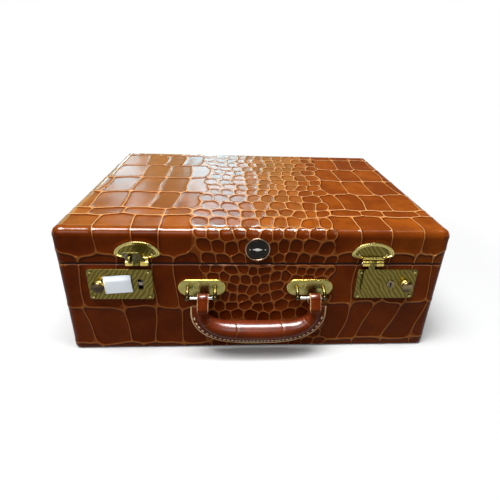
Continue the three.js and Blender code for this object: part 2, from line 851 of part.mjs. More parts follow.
function haspPlate() {
  const outline = lensPoints(hasp_plate_width, hasp_plate_rise, hasp_plate_drop, hasp_outline_steps);
  const lens = plate(outline, [], hasp_plate_thickness, hasp_plate_bevel);
  const dish_outline = lensPoints(
    hasp_plate_width - 2 * hasp_plate_rim,
    hasp_plate_rise - hasp_plate_rim,
    hasp_plate_drop - hasp_plate_bevel,
    hasp_outline_steps,
  );
  const dish = plate(dish_outline, [], overrun, 0);
  dish.translate(0, 0, hasp_plate_thickness - hasp_plate_recess);
  const dished = cut(lens, dish).translate(0, hasp_plate_above_axis, 0);
  const ridge_bar = rodAlongX(ridge_radius, ear_span, pin_sides);
  ridge_bar.translate(0, ridge_above_axis, ridge_standoff);
  const ridge_web = block(ear_span, 2 * ridge_radius, ridge_standoff);
  ridge_web.translate(0, ridge_above_axis, ridge_standoff / 2);
  const tongue_bottom = -ear_radius;
  const tongue_height = ridge_above_axis - tongue_bottom;
  const tongue = block(ear_span, tongue_height, hasp_plate_thickness);
  tongue.translate(0, tongue_bottom + tongue_height / 2, hasp_plate_thickness / 2);
  const ears = rodAlongX(ear_radius, ear_span, pin_sides).translate(0, 0, hasp_axis_standoff);
  const bore = rodAlongX(ear_bore, ear_span + overrun, pin_sides).translate(0, 0, hasp_axis_standoff);
  const between = rodAlongX(ear_radius + fit_gap, hasp_knuckle_width + 2 * fit_gap, pin_sides);
  between.translate(0, 0, hasp_axis_standoff);
  const below = block(hasp_knuckle_width + 2 * fit_gap, tongue_height, 2 * hasp_axis_standoff + overrun);
  below.translate(0, -tongue_height / 2, hasp_axis_standoff - overrun / 2);
  const rivet_holes = [-1, 1].map((across) => {
    const hole = rodAlongZ(rivet_shank_radius + running_gap, hasp_plate_thickness + overrun, rivet_sides);
    return hole.translate(across * hasp_rivet_place, hasp_plate_above_axis, 0);
  });
  const ridged = join(dished, ridge_bar, ridge_web);
  const eared = cut(join(tongue, ears), bore, between, below);
  return cut(join(ridged, eared), ...rivet_holes).applyMatrix4(facing_front);
}

// Hasp in its closed place, with the pin at the origin: Y is up and Z is out from the case.
function haspLeaf() {
  const inner_face = hasp_standoff - hasp_axis_standoff;
  const flap_height = hasp_length - hasp_shoulder;
  const flap_level = -(hasp_length + hasp_shoulder) / 2;
  const outline = roundedPoints(
    hasp_side_shift, flap_level, hasp_width, flap_height, hasp_corner_radius, small_round_steps,
  );
  const leaf = plate(outline, [], hasp_thickness, hasp_bevel).translate(0, 0, inner_face);
  const neck_height = hasp_shoulder + hasp_corner_radius;
  const neck = block(hasp_knuckle_width, neck_height, hasp_thickness);
  neck.translate(0, -neck_height / 2, inner_face + hasp_thickness / 2);
  const knuckle = rodAlongX(ear_radius, hasp_knuckle_width, pin_sides);
  const bore = rodAlongX(hasp_knuckle_bore, hasp_knuckle_width + overrun, pin_sides);
  return cut(join(leaf, neck, knuckle), bore).applyMatrix4(facing_front);
}

// Square staple whose bar lies behind the bolt
const bar_depth = bolt_back_depth + fit_gap;
const staple_reach = hasp_standoff + bar_depth + staple_bar;

function haspStaple() {
  const outside = block(staple_width, staple_height, staple_reach);
  const eye_reach = staple_reach - staple_bar;
  const eye = block(staple_width + overrun, staple_height - 2 * staple_leg, eye_reach + overrun);
  outside.translate(0, 0, -staple_reach / 2);
  eye.translate(0, 0, (overrun - eye_reach) / 2);
  return cut(outside, eye).applyMatrix4(facing_front);
}

function haspPin() {
  const length = ear_span + 2 * fit_gap;
  return rodAlongX(hasp_pin_radius, length, pin_sides);
}

for (const { name, sign } of sides) {
  const fittings = new THREE.Group();
  fittings.position.set(sign * hasp_place, front, hasp_axis_level);
  fittings.add(brass(`${name}_hasp_plate`, haspPlate()));
  const floor = hasp_plate_thickness - hasp_plate_recess;
  [-1, 1].forEach((across, i) => {
    const head = brass(`${name}_hasp_rivet_${i + 1}`, rivet(floor + rivet_depth));
    head.position.set(across * hasp_rivet_place, -floor, hasp_plate_above_axis);
    fittings.add(head);
  });
  const pin = steely(`${name}_hasp_pin`, haspPin());
  pin.position.y = -hasp_axis_standoff;
  const spring_geometry = coil(
    "hasp spring", hasp_spring_radius, hasp_spring_wire, hasp_spring_length, hasp_spring_turns,
  );
  const spring = steely(`${name}_hasp_spring`, spring_geometry);
  spring.position.copy(pin.position);
  fittings.add(pin, spring);
  lid.add(fittings);

  // The left hasp stands sprung open and the right one is shut over its lock.
  const hasp = new THREE.Group();
  hasp.position.set(sign * hasp_place, front - hasp_axis_standoff, hasp_axis_level);
  hasp.rotation.x = name === "left" ? -THREE.MathUtils.degToRad(hasp_open_angle) : 0;
  const staple = steely(`${name}_hasp_staple`, haspStaple());
  staple.position.set(0, hasp_axis_standoff - hasp_standoff, lock_level - hasp_axis_level);
  hasp.add(brass(`${name}_hasp`, haspLeaf()), staple);
  lid.add(hasp);
}

// Badge: a gilt ring round a plain enamelled disc

function badgeRing() {
  const inner = badge_radius - badge_ring_width;
  const profile = [
    [inner, 0],
    [badge_radius, 0],
    [badge_radius, badge_ring_height / 2],
    [badge_radius - badge_ring_width / 3, badge_ring_height],
    [inner + badge_ring_width / 3, badge_ring_height],
    [inner, badge_ring_height / 2],
    [inner, 0],
  ];
  return turned(profile, badge_sides).applyMatrix4(facing_front);
}

function badgeDisc() {
  const radius = badge_radius - badge_ring_width - running_gap;
  const profile = [
    [0, 0],
    [radius, 0],
    [radius, badge_disc_height - badge_dome],
    [radius / 2, badge_disc_height - badge_dome / 4],
    [0, badge_disc_height],
  ];
  return turned(profile, badge_sides).applyMatrix4(facing_front);
}

const badge_ring = piece("badge_ring", badgeRing(), gilt, 0.35, 0.9);
const badge_disc = piece("badge_disc", badgeDisc(), enamel_black, 0.2, 0);
badge_ring.position.set(0, front, badge_level);
badge_disc.position.copy(badge_ring.position);
lid.add(badge_ring, badge_disc);

// Handle mounts: a long plate with two lugs that carry a cross pin in their balls

function handleMount() {
  const outline = roundedPoints(0, 0, mount_width, mount_height, mount_height / 2, corner_steps);
  const face = plate(outline, [], mount_thickness, mount_bevel);
  const parts = [-1, 1].flatMap((across) => {
    const x = across * lug_place;
    const root = new THREE.Vector3(x, lug_rise, mount_thickness / 2);
    const elbow = new THREE.Vector3(x, lug_rise, pin_standoff);
    const end = new THREE.Vector3(x, -pin_below_mount, pin_standoff);
    const lug = tube(new THREE.QuadraticBezierCurve3(root, elbow, end), lug_radius, lug_steps, lug_sides);
    const ball = new THREE.SphereGeometry(lug_ball_radius, ball_sides, ball_steps);
    ball.translate(x, -pin_below_mount, pin_standoff);
    const tail_length = mount_tail_length + mount_thickness / 2;
    const tail = rodAlongZ(mount_tail_radius, tail_length, rivet_sides);
    tail.translate(x, 0, mount_thickness / 2 - tail_length / 2);
    return [lug, ball, tail];
  });
  const hole_length = 2 * lug_place + 2 * fit_gap;
  const hole = rodAlongX(pin_radius + running_gap, hole_length, pin_sides);
  hole.translate(0, -pin_below_mount, pin_standoff);
  return cut(join(face, ...parts), hole).applyMatrix4(facing_front);
}

for (const { name, sign } of sides) {
  const mount = shiny(`${name}_handle_mount`, handleMount());
  mount.position.set(sign * mount_place, front, mount_level);
  const pin = steely(`${name}_handle_pin`, rodAlongX(pin_radius, 2 * lug_place, pin_sides));
  pin.position.set(sign * mount_place, front - pin_standoff, pin_level);
  base.add(mount, pin);
}

// Padded handle: drawn with X across, Y up from the pins and Z out from the case

// Points of the grip's middle line from its left end round to its right end, with the radius there
function gripStations() {
  const half = grip_across_shares.map((across, i) => {
    const drop = grip_top + (grip_drop - grip_top) * grip_down_shares[i];
    return [across * handle_half_span, -drop, grip_radius_shares[i] * grip_radius];
  });
  const left = half.slice(1).reverse().map(([x, y, radius]) => [-x, y, radius]);
  return [...left, ...half];
}

const grip_line = new THREE.CatmullRomCurve3(gripStations().map(([x, y]) => new THREE.Vector3(x, y, 0)));
const grip_radii = new THREE.CatmullRomCurve3(gripStations().map((station, i) => {
  return new THREE.Vector3(i, station[2], 0);
}));

// Sweeps a section along the grip. The section's first way points outward from the bend.
function gripSweep(section, from, to) {
  const rings = [];
  for (let i = 0; i <= grip_steps; i += 1) {
    const share = from + (to - from) * (i / grip_steps);
    const inside = Math.min(Math.max(share, 0), 1);
    const along = grip_line.getTangent(inside);
    const centre = grip_line.getPoint(inside);
    if (share !== inside) {
      centre.addScaledVector(along, share > 1 ? overrun : -overrun);
    }
    const outward = new THREE.Vector3(along.y, -along.x, 0);
    const inward_depth = new THREE.Vector3().crossVectors(along, outward);
    const radius = grip_radii.getPoint(inside).y;
    rings.push(section(radius).map(([a, b]) => {
      return centre.clone().addScaledVector(outward, a).addScaledVector(inward_depth, b);
    }));
  }
  return loft(rings);
}

function roundSection(radius, inset) {
  return circlePoints(0, 0, radius - inset, grip_sides).map((point) => [point.x, point.y]);
}

// A round body with the stitched welt standing off its outer side
function weltedSection(radius) {
  const half = welt_thickness / 2;
  const welt = [[radius + welt_height, -half], [radius + welt_height, half], [radius, half]];
  const body = roundSection(radius, 0).slice(1);
  return [[radius, -half], ...welt, ...body];
}

function gripCover() {
  const outside = gripSweep(weltedSection, 0, 1);
  const step_past_end = 1 / grip_steps;
  const bore = gripSweep((radius) => roundSection(radius, grip_hide), -step_past_end, 1 + step_past_end);
  return cut(outside, bore);
}

function gripCore() {
  return gripSweep((radius) => roundSection(radius, grip_hide + fit_gap), 0, 1);
}

// Strap that goes over the pin and grips both faces of the handle's end
function strap() {
  const half = strap_thickness / 2;
  const loop_radius = pin_radius + strap_slack + half;
  const end_radius = grip_radius_shares[grip_radius_shares.length - 2] * grip_radius;
  const tongue_offset = end_radius + fit_gap + half;
  const tongue_top = -grip_top + half;
  const path = [];
  for (let i = 0; i <= strap_tip_steps; i += 1) {
    const share = strap_tip_share + (1 - strap_tip_share) * (i / strap_tip_steps);
    const angle = quarter_turn * share;
    const from_tip = strap_tip_radius * (1 - Math.cos(angle));
    path.push([tongue_offset, -strap_tongue_drop + from_tip, Math.sin(angle)]);
  }
  path.push([tongue_offset, tongue_top, 1]);
  for (let i = 0; i <= strap_loop_steps / 2; i += 1) {
    const angle = quarter_turn * (i / (strap_loop_steps / 2));
    path.push([loop_radius * Math.cos(angle), loop_radius * Math.sin(angle), 1]);
  }
  const other = path.slice(0, -1).reverse().map(([z, y, share]) => [-z, y, share]);
  const whole = [...path, ...other];
  const places = whole.map(([z, y]) => new THREE.Vector3(0, y, z));
  const rings = whole.map((station, i) => {
    const before = places[Math.max(i - 1, 0)];
    const after = places[Math.min(i + 1, places.length - 1)];
    const along = after.clone().sub(before).normalize();
    const outward = new THREE.Vector3(0, -along.z, along.y);
    const wide = (strap_width / 2) * station[2];
    const corners = [[half, -wide], [half, wide], [-half, wide], [-half, -wide]];
    return corners.map(([a, b]) => {
      return places[i].clone().addScaledVector(outward, a).addScaledVector(axis_x, b);
    });
  });
  return loft(rings).applyMatrix4(facing_front);
}

const handle = new THREE.Group();
handle.position.set(handle_shift, front - pin_standoff, pin_level);
handle.add(
  leather("handle_cover", gripCover().applyMatrix4(facing_front)),
  piece("handle_core", gripCore().applyMatrix4(facing_front), board_tan, 0.9, 0),
);
for (const { name, sign } of sides) {
  const loop = leather(`${name}_handle_strap`, strap());
  loop.position.x = sign * handle_half_span;
  handle.add(loop);
}

const vanity_case = new THREE.Group();
vanity_case.name = "vanity_case";
vanity_case.add(base, lid, handle);

export default vanity_case;
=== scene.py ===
"""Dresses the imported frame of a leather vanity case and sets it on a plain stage."""

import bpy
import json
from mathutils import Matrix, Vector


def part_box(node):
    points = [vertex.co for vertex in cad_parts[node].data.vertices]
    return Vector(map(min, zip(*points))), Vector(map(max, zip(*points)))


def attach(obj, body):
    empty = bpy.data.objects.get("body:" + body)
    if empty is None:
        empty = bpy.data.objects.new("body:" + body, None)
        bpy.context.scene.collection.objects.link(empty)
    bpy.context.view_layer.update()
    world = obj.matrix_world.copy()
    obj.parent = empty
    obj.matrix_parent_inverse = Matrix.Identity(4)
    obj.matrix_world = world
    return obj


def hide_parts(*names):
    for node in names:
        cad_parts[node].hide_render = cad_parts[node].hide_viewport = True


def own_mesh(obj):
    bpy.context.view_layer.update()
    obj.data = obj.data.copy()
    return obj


bl_info = {
    "name": "Vanity Case",
    "version": (1, 0, 0),
    "blender": (4, 5, 0),
    "location": "View3D > Sidebar > Vanity Case",
    "description": "Embossed hide, lock fittings, padded handle and inside of a vanity case",
    "category": "Add Mesh",
}

import json
import math
from functools import cache

import bmesh
import bpy
import numpy as np
from bpy.props import FloatProperty, FloatVectorProperty, IntProperty, PointerProperty
from bpy.types import Operator, Panel, PropertyGroup
from mathutils import Matrix, Vector

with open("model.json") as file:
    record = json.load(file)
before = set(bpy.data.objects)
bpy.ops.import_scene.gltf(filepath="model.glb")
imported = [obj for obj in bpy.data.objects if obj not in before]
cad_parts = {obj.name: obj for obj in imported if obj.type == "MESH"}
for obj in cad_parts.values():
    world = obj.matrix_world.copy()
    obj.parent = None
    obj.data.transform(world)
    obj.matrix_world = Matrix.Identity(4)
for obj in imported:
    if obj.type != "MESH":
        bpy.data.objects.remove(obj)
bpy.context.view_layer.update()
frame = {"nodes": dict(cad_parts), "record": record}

MM = 0.001
QUARTER = math.pi / 2


def box_of(name):
    """Lowest and highest corner of a frame node, in millimetres."""
    return [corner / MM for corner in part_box(name)]


# The case in millimetres, as the frame has it
CASE_LOW, CASE_HIGH = box_of("base_covering")
LID_LOW, LID_HIGH = box_of("lid_covering")
HALF_WIDTH = CASE_HIGH.x
HALF_DEPTH = CASE_HIGH.y
FRONT = CASE_LOW.y
CORNER = 9.0
BASE_EDGE = 4.0
FLAT_X = HALF_WIDTH - CORNER
FLAT_Y = HALF_DEPTH - CORNER
LID_ROUND_FOOT = LID_HIGH.z - CORNER
ARC = CORNER * QUARTER
TOP_MIDDLE = LID_ROUND_FOOT + ARC + FLAT_Y
BACK_SEAM = 2 * FLAT_X + 2 * ARC + 2 * FLAT_Y
HIDE_THICKNESS = 1.2
RIM_WIDTH = 6.5
RIDGE_REACH = 2.4
FAR = 1e3

# Places and sizes of the fittings in millimetres. One of a pair has the place of the right one here.
SIDES = (("left", -1), ("right", 1))
LOCK_X, LOCK_Z = 140.6, 86.8
KNOB_OUT, PLUG_OUT = 21.4, 5.4
SLOT_X = 120.5
HASP_X, HASP_Z = 120.5, 114.4
HASP_WIDTH, HASP_RISE, HASP_DROP, HASP_WIDEST = 45.0, 13.8, 5.0, 8.8
MOUNT_X, MOUNT_Z = 57.5, 82.6
MOUNT_HALF, MOUNT_RADIUS = 15.1, 9.9
BADGE_Z, BADGE_RADIUS = 128.3, 13.0
PIN_Y, PIN_Z, PIN_RADIUS = -163.0, 77.6, 1.6
HANDLE_X = 3.0

# Rows of large scales on the hide, from the foot of the front up over the lid to its back:
# (lower ridge, upper ridge, ridges across on that side of the middle)
LEFT_ROWS = (
    (-20, 7.5, (-170, -125, -80, -50)),
    (7.5, 57, (-180, -141, -109, -80, -52)),
    (57, 122, (-181, -142, -107, -84, -58)),
    (122, 183, (-161, -126.5, -99, -67)),
    (183, 202, (-177, -142, -99, -72)),
    (202, 254, (-182, -149, -117.5, -90, -64)),
    (254, 311, (-186, -150, -116, -84, -57)),
    (311, 369, (-190, -151, -117.5, -86, -62)),
    (369, 425, (-196, -159, -130, -102, -75)),
    (425, 480, (-180, -145, -110, -85)),
)
RIGHT_ROWS = (
    (-20, 11, (80, 115, 150, 185)),
    (11, 62, (75, 102, 125, 157, 189)),
    (62, 124, (80, 106, 140, 168, 189)),
    (124, 183, (78, 105, 138, 171.5)),
    (183, 200, (84, 118.7, 143, 185)),
    (200, 252.5, (82, 101.5, 128.7, 160.5, 193)),
    (252.5, 307, (93, 122, 154, 187.5)),
    (307, 362.5, (96, 123.5, 154, 187.5)),
    (362.5, 417.5, (102, 135, 162.5, 192)),
    (417.5, 480, (104, 136, 165, 190)),
)
# Rows of small scales between them: (level, half height, places across)
MIDDLE_ROWS = (
    (-8, 8, (-50, -34, -18, -2, 14, 30, 46, 60, 73)),
    (6, 7, (-42, -27, -12, 3, 17, 32, 47, 61, 75)),
    (19, 7, (-46, -32, -18, -4, 11, 25, 40, 54, 68)),
    (32, 7, (-41, -27, -13, 2, 17, 32, 46, 61, 74)),
    (45, 7, (-46, -32, -18, -4, 10, 24, 38, 52, 66, 80)),
    (58, 6.5, (-51, -38, -25, -11, 2, 16, 30, 44, 58, 72)),
    (70, 6, (-45, -34, -24, -13, -1, 13, 26, 39, 52, 64, 77)),
    (81.5, 6, (-50, -39, -28, -17, -5, 7, 20, 33, 46, 59, 72)),
    (93, 6, (-46, -35, -23, -12, -1, 9, 20, 31, 44, 57, 70)),
    (104, 5.5, (-53, -41, -29, -16, -4, 9, 21, 34, 45, 56, 67, 78)),
    (116, 7, (-60, -46, -33, -19, -5, 9, 21, 33, 46, 61, 76)),
    (130, 8, (-53, -39, -25, -12, 2, 15, 27, 40, 54, 69)),
    (146, 6.5, (-58, -46, -31, -18, -4, 9, 21, 34, 47, 62, 77)),
    (165, 11.5, (-60, -42, -25, -9, 8, 24, 40, 57, 73)),
    (188, 8.5, (-57, -40, -25, -9, 4, 17, 31, 47, 60, 75)),
    (210, 11.5, (-49, -29, -11, 7, 26, 44, 62, 77)),
    (234, 11.5, (-60, -40, -18, 1, 16, 33, 51, 71)),
    (256, 9.5, (-47, -34, -17, -2, 11, 23, 34, 49, 66, 84)),
    (276, 10, (-48, -32, -16, -2, 12, 23, 35, 49, 63, 80)),
    (297, 10.5, (-53, -36, -18, 0, 16, 33, 50, 68, 86)),
    (317, 10.5, (-49, -34, -17, -1, 17, 34, 51, 67, 85)),
    (337, 10, (-49, -33, -19, -3, 10, 22, 36, 51, 67, 85)),
    (357, 10, (-54, -37, -22, -7, 8, 25, 40, 54, 73, 92)),
    (378, 10.5, (-60, -42, -27, -12, 3, 16, 29, 44, 60, 76, 94)),
    (399, 10.5, (-66, -46, -30, -16, -1, 14, 30, 43, 58, 74, 90)),
    (421, 10.5, (-65, -46, -28, -14, 1, 15, 30, 46, 62, 78, 94)),
    (442, 10, (-72, -55, -38, -22, -7, 9, 24, 40, 55, 71, 87)),
    (462, 10, (-64, -46, -30, -14, 1, 16, 32, 47, 63, 79, 95)),
)
# The rows near the back bow upward at both ends
BOW_MIDDLE, BOW_HALF, BOW_FIRST, BOW_RISE = 12, 80, 320, 9


def length_property(name, description, value):
    return FloatProperty(
        name=name, description=description, default=value * MM, min=0.1 * MM,
        subtype="DISTANCE", unit="LENGTH")


def colour_property(name, value):
    return FloatVectorProperty(
        name=name, description=f"{name} colour, linear", default=value, size=3,
        min=0, max=1, subtype="COLOR")


class CaseSizes(PropertyGroup):
    """Sizes of the dressed pieces."""

    mesh_pitch: length_property("Hide mesh pitch", "Spacing of the hide's mesh", 1.46)
    relief_depth: length_property("Relief depth", "How far the scales lie below the ridges", 0.62)
    ridge_half: length_property("Ridge half width", "Half of a ridge's flat crest", 0.35)
    stitch_length: length_property("Stitch length", "Length of one stitch of the handle", 3.4)
    stitch_pitch: length_property("Stitch pitch", "Distance from one stitch to the next", 4.6)
    turn_steps: IntProperty(
        name="Turning steps", description="Facets round a turned fitting", default=48, min=12)


class CaseColours(PropertyGroup):
    """Colours of the dressed pieces."""

    scale: colour_property("Scales", (0.075, 0.0105, 0.0009))
    scale_light: colour_property("Light scales", (0.12, 0.019, 0.0016))
    # Rims of scales: a dark stain, with painted shade below and right of the ridges
    scale_dark: colour_property("Rims of scales", (0.045, 0.006, 0.001))
    # Scales and ridges of the top: the top's own fade, with painted light on the top and on the right of the
    # front
    faded: colour_property("Scales of the top", (0.145, 0.029, 0.0024))
    faded_light: colour_property("Light scales of the top", (0.23, 0.053, 0.004))
    ridge: colour_property("Ridges", (0.25, 0.082, 0.02))
    ridge_light: colour_property("Ridges of the top", (0.47, 0.20, 0.06))
    strap: colour_property("Strap leather", (0.15, 0.022, 0.004))
    raw_edge: colour_property("Cut leather edge", (0.72, 0.46, 0.22))
    aged_brass: colour_property("Aged brass", (0.18, 0.145, 0.030))
    aged_dark: colour_property("Aged brass, dark", (0.045, 0.034, 0.006))
    tan_brass: colour_property("Rubbed brass", (0.29, 0.26, 0.09))
    rim_brass: colour_property("Rim brass", (0.50, 0.42, 0.15))
    bright_brass: colour_property("Bright brass", (0.68, 0.52, 0.13))
    neck_brass: colour_property("Neck brass", (0.9, 0.7, 0.2))
    neck_dark: colour_property("Neck brass, dark", (0.8, 0.6, 0.16))
    bronze: colour_property("Dark bronze", (0.07, 0.045, 0.02))
    nickel: colour_property("Worn nickel", (0.22, 0.165, 0.09))
    nickel_dark: colour_property("Worn nickel, dark", (0.06, 0.042, 0.023))
    knob: colour_property("Knob", (0.34, 0.25, 0.12))
    knob_dark: colour_property("Knob, dark", (0.12, 0.08, 0.04))
    # Painted shade on the lower part of the knob heads
    grime: colour_property("Grime", (0.045, 0.032, 0.019))
    steel: colour_property("Pale steel", (0.62, 0.60, 0.55))
    steel_dark: colour_property("Pale steel, dark", (0.25, 0.24, 0.22))
    iron: colour_property("Dark steel", (0.22, 0.20, 0.17))
    iron_dark: colour_property("Dark steel, dark", (0.06, 0.055, 0.05))
    gilt: colour_property("Worn gilt", (0.34, 0.22, 0.14))
    gilt_dark: colour_property("Worn gilt, dark", (0.12, 0.08, 0.06))
    thread: colour_property("Thread", (0.85, 0.74, 0.52))
    thread_dark: colour_property("Thread, dark", (0.25, 0.15, 0.07))
    cloth: colour_property("Lining cloth", (0.50, 0.36, 0.18))
    cloth_dark: colour_property("Lining cloth, dark", (0.16, 0.10, 0.05))
    board: colour_property("Board", (0.58, 0.41, 0.22))
    board_dark: colour_property("Board, dark", (0.42, 0.27, 0.13))
    silver: colour_property("Silvered glass", (0.86, 0.88, 0.89))
    silver_haze: colour_property("Haze on the glass", (0.80, 0.83, 0.84))
    # Enamel: also the near-black of the painted shadow along the lid's rim
    enamel: colour_property("Enamel", (0.008, 0.007, 0.006))
    dust: colour_property("Dust on the enamel", (0.06, 0.05, 0.045))
    paper: colour_property("Paper", (0.82, 0.88, 0.93))
    paper_dark: colour_property("Paper, dark", (0.74, 0.79, 0.84))


def sizes():
    return bpy.context.scene.vanity_case_sizes


def colours():
    return bpy.context.scene.vanity_case_colours


class Nodes:
    """Adds nodes to a shader tree. Most methods give back the socket that holds their result."""

    def __init__(self, tree):
        self.tree = tree

    def fill(self, socket, value):
        """Links a socket to another one, or sets its own value."""
        if isinstance(value, bpy.types.NodeSocket):
            self.tree.links.new(value, socket)
        elif hasattr(socket.default_value, "__len__") and len(socket.default_value) == 4:
            socket.default_value = (*value, 1)
        else:
            socket.default_value = value

    def node(self, kind, inputs, result=0, **settings):
        """A new node, with its inputs and its result told by name or by place."""
        node = self.tree.nodes.new(kind)
        for name, value in settings.items():
            setattr(node, name, value)
        for label, value in inputs.items():
            self.fill(node.inputs[label], value)
        return node.outputs[result]

    def placed(self, group, **inputs):
        """A node group in this tree. Gives back all its results."""
        node = self.tree.nodes.new("ShaderNodeGroup")
        node.node_tree = group
        for label, value in inputs.items():
            self.fill(node.inputs[label], value)
        return node.outputs

    def math(self, operation, *values):
        return self.node("ShaderNodeMath", dict(enumerate(values)), operation=operation)

    def plus(self, first, second):
        return self.math("ADD", first, second)

    def times(self, first, second):
        return self.math("MULTIPLY", first, second)

    def mixed(self, share, first, second):
        """The first colour, with a share of the second."""
        return self.node("ShaderNodeMix", {0: share, 6: first, 7: second}, 2, data_type="RGBA")

    def spread(self, value, low, high, to_low=0.0, to_high=1.0):
        """Maps low to to_low and high to to_high, and keeps the result between them."""
        return self.node("ShaderNodeMapRange", {
            "Value": value, "From Min": low, "From Max": high, "To Min": to_low, "To Max": to_high})

    def place(self):
        """Place in the object's own space."""
        return self.node("ShaderNodeTexCoord", {}, "Object")

    def coordinate(self, axis):
        return self.node("ShaderNodeSeparateXYZ", {"Vector": self.place()}, axis)

    def attribute(self, name):
        return self.node("ShaderNodeAttribute", {}, "Fac", attribute_name=name)

    def noise(self, scale, detail=3.0, roughness=0.5, distortion=0.0, stretch=None):
        """Noise in the object's own space, finer along an axis with a larger stretch."""
        vector = self.place()
        if stretch:
            vector = self.node("ShaderNodeMapping", {"Vector": vector, "Scale": stretch})
        return self.node("ShaderNodeTexNoise", {
            "Vector": vector, "Scale": scale, "Detail": detail, "Roughness": roughness,
            "Distortion": distortion})


class Look(Nodes):
    """A new material, whose shader's inputs are set by name."""

    def __init__(self, name, **settings):
        self.material = bpy.data.materials.new(name)
        self.material.use_nodes = True
        super().__init__(self.material.node_tree)
        self.inputs = self.tree.nodes["Principled BSDF"].inputs
        for label, value in settings.items():
            self.set(label.replace("_", " "), value)

    def set(self, label, value):
        self.fill(self.inputs[label], value)

    def paint(self, share, first, second):
        self.set("Base Color", self.mixed(share, first, second))

    def bump(self, height, strength, distance):
        self.set("Normal", self.node("ShaderNodeBump", {
            "Height": height, "Strength": strength, "Distance": distance}))


# Node groups, each made the first time that it is asked for

def group(name, takes, gives):
    """An empty node group with float or colour inputs and outputs."""
    tree = bpy.data.node_groups.new(name, "ShaderNodeTree")
    kinds = {float: "NodeSocketFloat", tuple: "NodeSocketColor"}
    for label, value in takes.items():
        socket = tree.interface.new_socket(label, in_out="INPUT", socket_type=kinds[type(value)])
        socket.default_value = (*value, 1) if isinstance(value, tuple) else value
    for label, kind in gives.items():
        tree.interface.new_socket(label, in_out="OUTPUT", socket_type=kinds[kind])
    entry = tree.nodes.new("NodeGroupInput")
    leave = tree.nodes.new("NodeGroupOutput")
    return Nodes(tree), entry.outputs, leave.inputs


@cache
def leather_grain():
    nodes, takes, gives = group("Leather grain", {"Scale": 1.0}, {"Height": float, "Tone": float})
    pores = nodes.noise(nodes.times(takes["Scale"], 1400.0), 2.0, 0.6)
    creases = nodes.noise(nodes.times(takes["Scale"], 260.0), 4.0, 0.6, 0.4)
    tone = nodes.noise(nodes.times(takes["Scale"], 38.0), 4.0, 0.6, 0.3)
    nodes.fill(gives["Height"], nodes.plus(nodes.times(pores, 0.35), nodes.times(creases, 0.65)))
    nodes.fill(gives["Tone"], tone)
    return nodes.tree


@cache
def tarnish():
    """Patina of old metal: a colour between bright and dark, with its roughness and height."""
    takes = {"Bright": (0.5, 0.4, 0.1), "Dark": (0.1, 0.08, 0.02), "Scale": 1.0, "Amount": 0.5}
    gives = {"Color": tuple, "Roughness": float, "Height": float}
    nodes, takes, gives = group("Tarnish", takes, gives)
    blotches = nodes.noise(nodes.times(takes["Scale"], 160.0), 5.0, 0.65, 0.5)
    specks = nodes.noise(nodes.times(takes["Scale"], 900.0), 2.0, 0.6)
    share = nodes.times(nodes.spread(blotches, 0.35, 0.7), takes["Amount"])
    speckled = nodes.plus(share, nodes.times(nodes.spread(specks, 0.55, 0.8), 0.25))
    nodes.fill(gives["Color"], nodes.mixed(speckled, takes["Bright"], takes["Dark"]))
    nodes.fill(gives["Roughness"], nodes.spread(speckled, 0.0, 1.0, 0.22, 0.5))
    nodes.fill(gives["Height"], nodes.plus(blotches, nodes.times(specks, 0.4)))
    return nodes.tree


@cache
def woven():
    """Plain weave of threads along two ways of a flat cloth."""
    nodes, takes, gives = group("Weave", {"Pitch": 0.9 * MM}, {"Height": float, "Tone": float})
    turns = nodes.math("DIVIDE", 2 * math.pi, takes["Pitch"])
    threads = []
    for axis in "XY":
        way = nodes.plus(nodes.coordinate(axis), nodes.coordinate("Z"))
        threads.append(nodes.math("SINE", nodes.times(way, turns)))
    nodes.fill(gives["Height"], nodes.times(*threads))
    nodes.fill(gives["Tone"], nodes.noise(60.0, 4.0, 0.6))
    return nodes.tree


# Materials, each made the first time that it is asked for

def leather(name, **settings):
    """A material for tanned hide, whose weak surface shine has the hide's warm tint."""
    return Look(name, Specular_IOR_Level=0.06, Specular_Tint=(1.0, 0.5, 0.25), **settings)


def creased(look, scale):
    """Darkens a scale towards its rim with a dark stain and with painted shade, the shade strongest below and
    right of a ridge, and colours the ridge's crest.

    Gives back the colour, the mask of the crest and the noise that rubs it.
    """
    shades = colours()
    rubbed = look.noise(220.0)
    valley = look.attribute("valley")
    # Painted shade: rims below and right of a ridge, away from the key lamp, come out darker
    shadow = look.spread(look.attribute("painted_shade_side"), 0.0, 1.0, 0.3, 0.95)
    rim = look.times(look.spread(valley, 0.2, 0.55), shadow)
    rimmed = look.mixed(rim, scale, shades.scale_dark)
    # Ridges take the lighter colour of the top where it is faded, and where painted light falls
    ridge = look.mixed(look.attribute("faded"), shades.ridge, shades.ridge_light)
    between = look.mixed(0.25, shades.scale_light, ridge)
    crossed = look.mixed(look.spread(valley, 0.7, 0.95), rimmed, between)
    crest = look.spread(look.attribute("ridge"), 0.66, 0.9)
    crest = look.times(crest, look.spread(rubbed, 0.2, 0.5, 0.7, 1.0))
    return look.mixed(crest, crossed, ridge), crest, rubbed


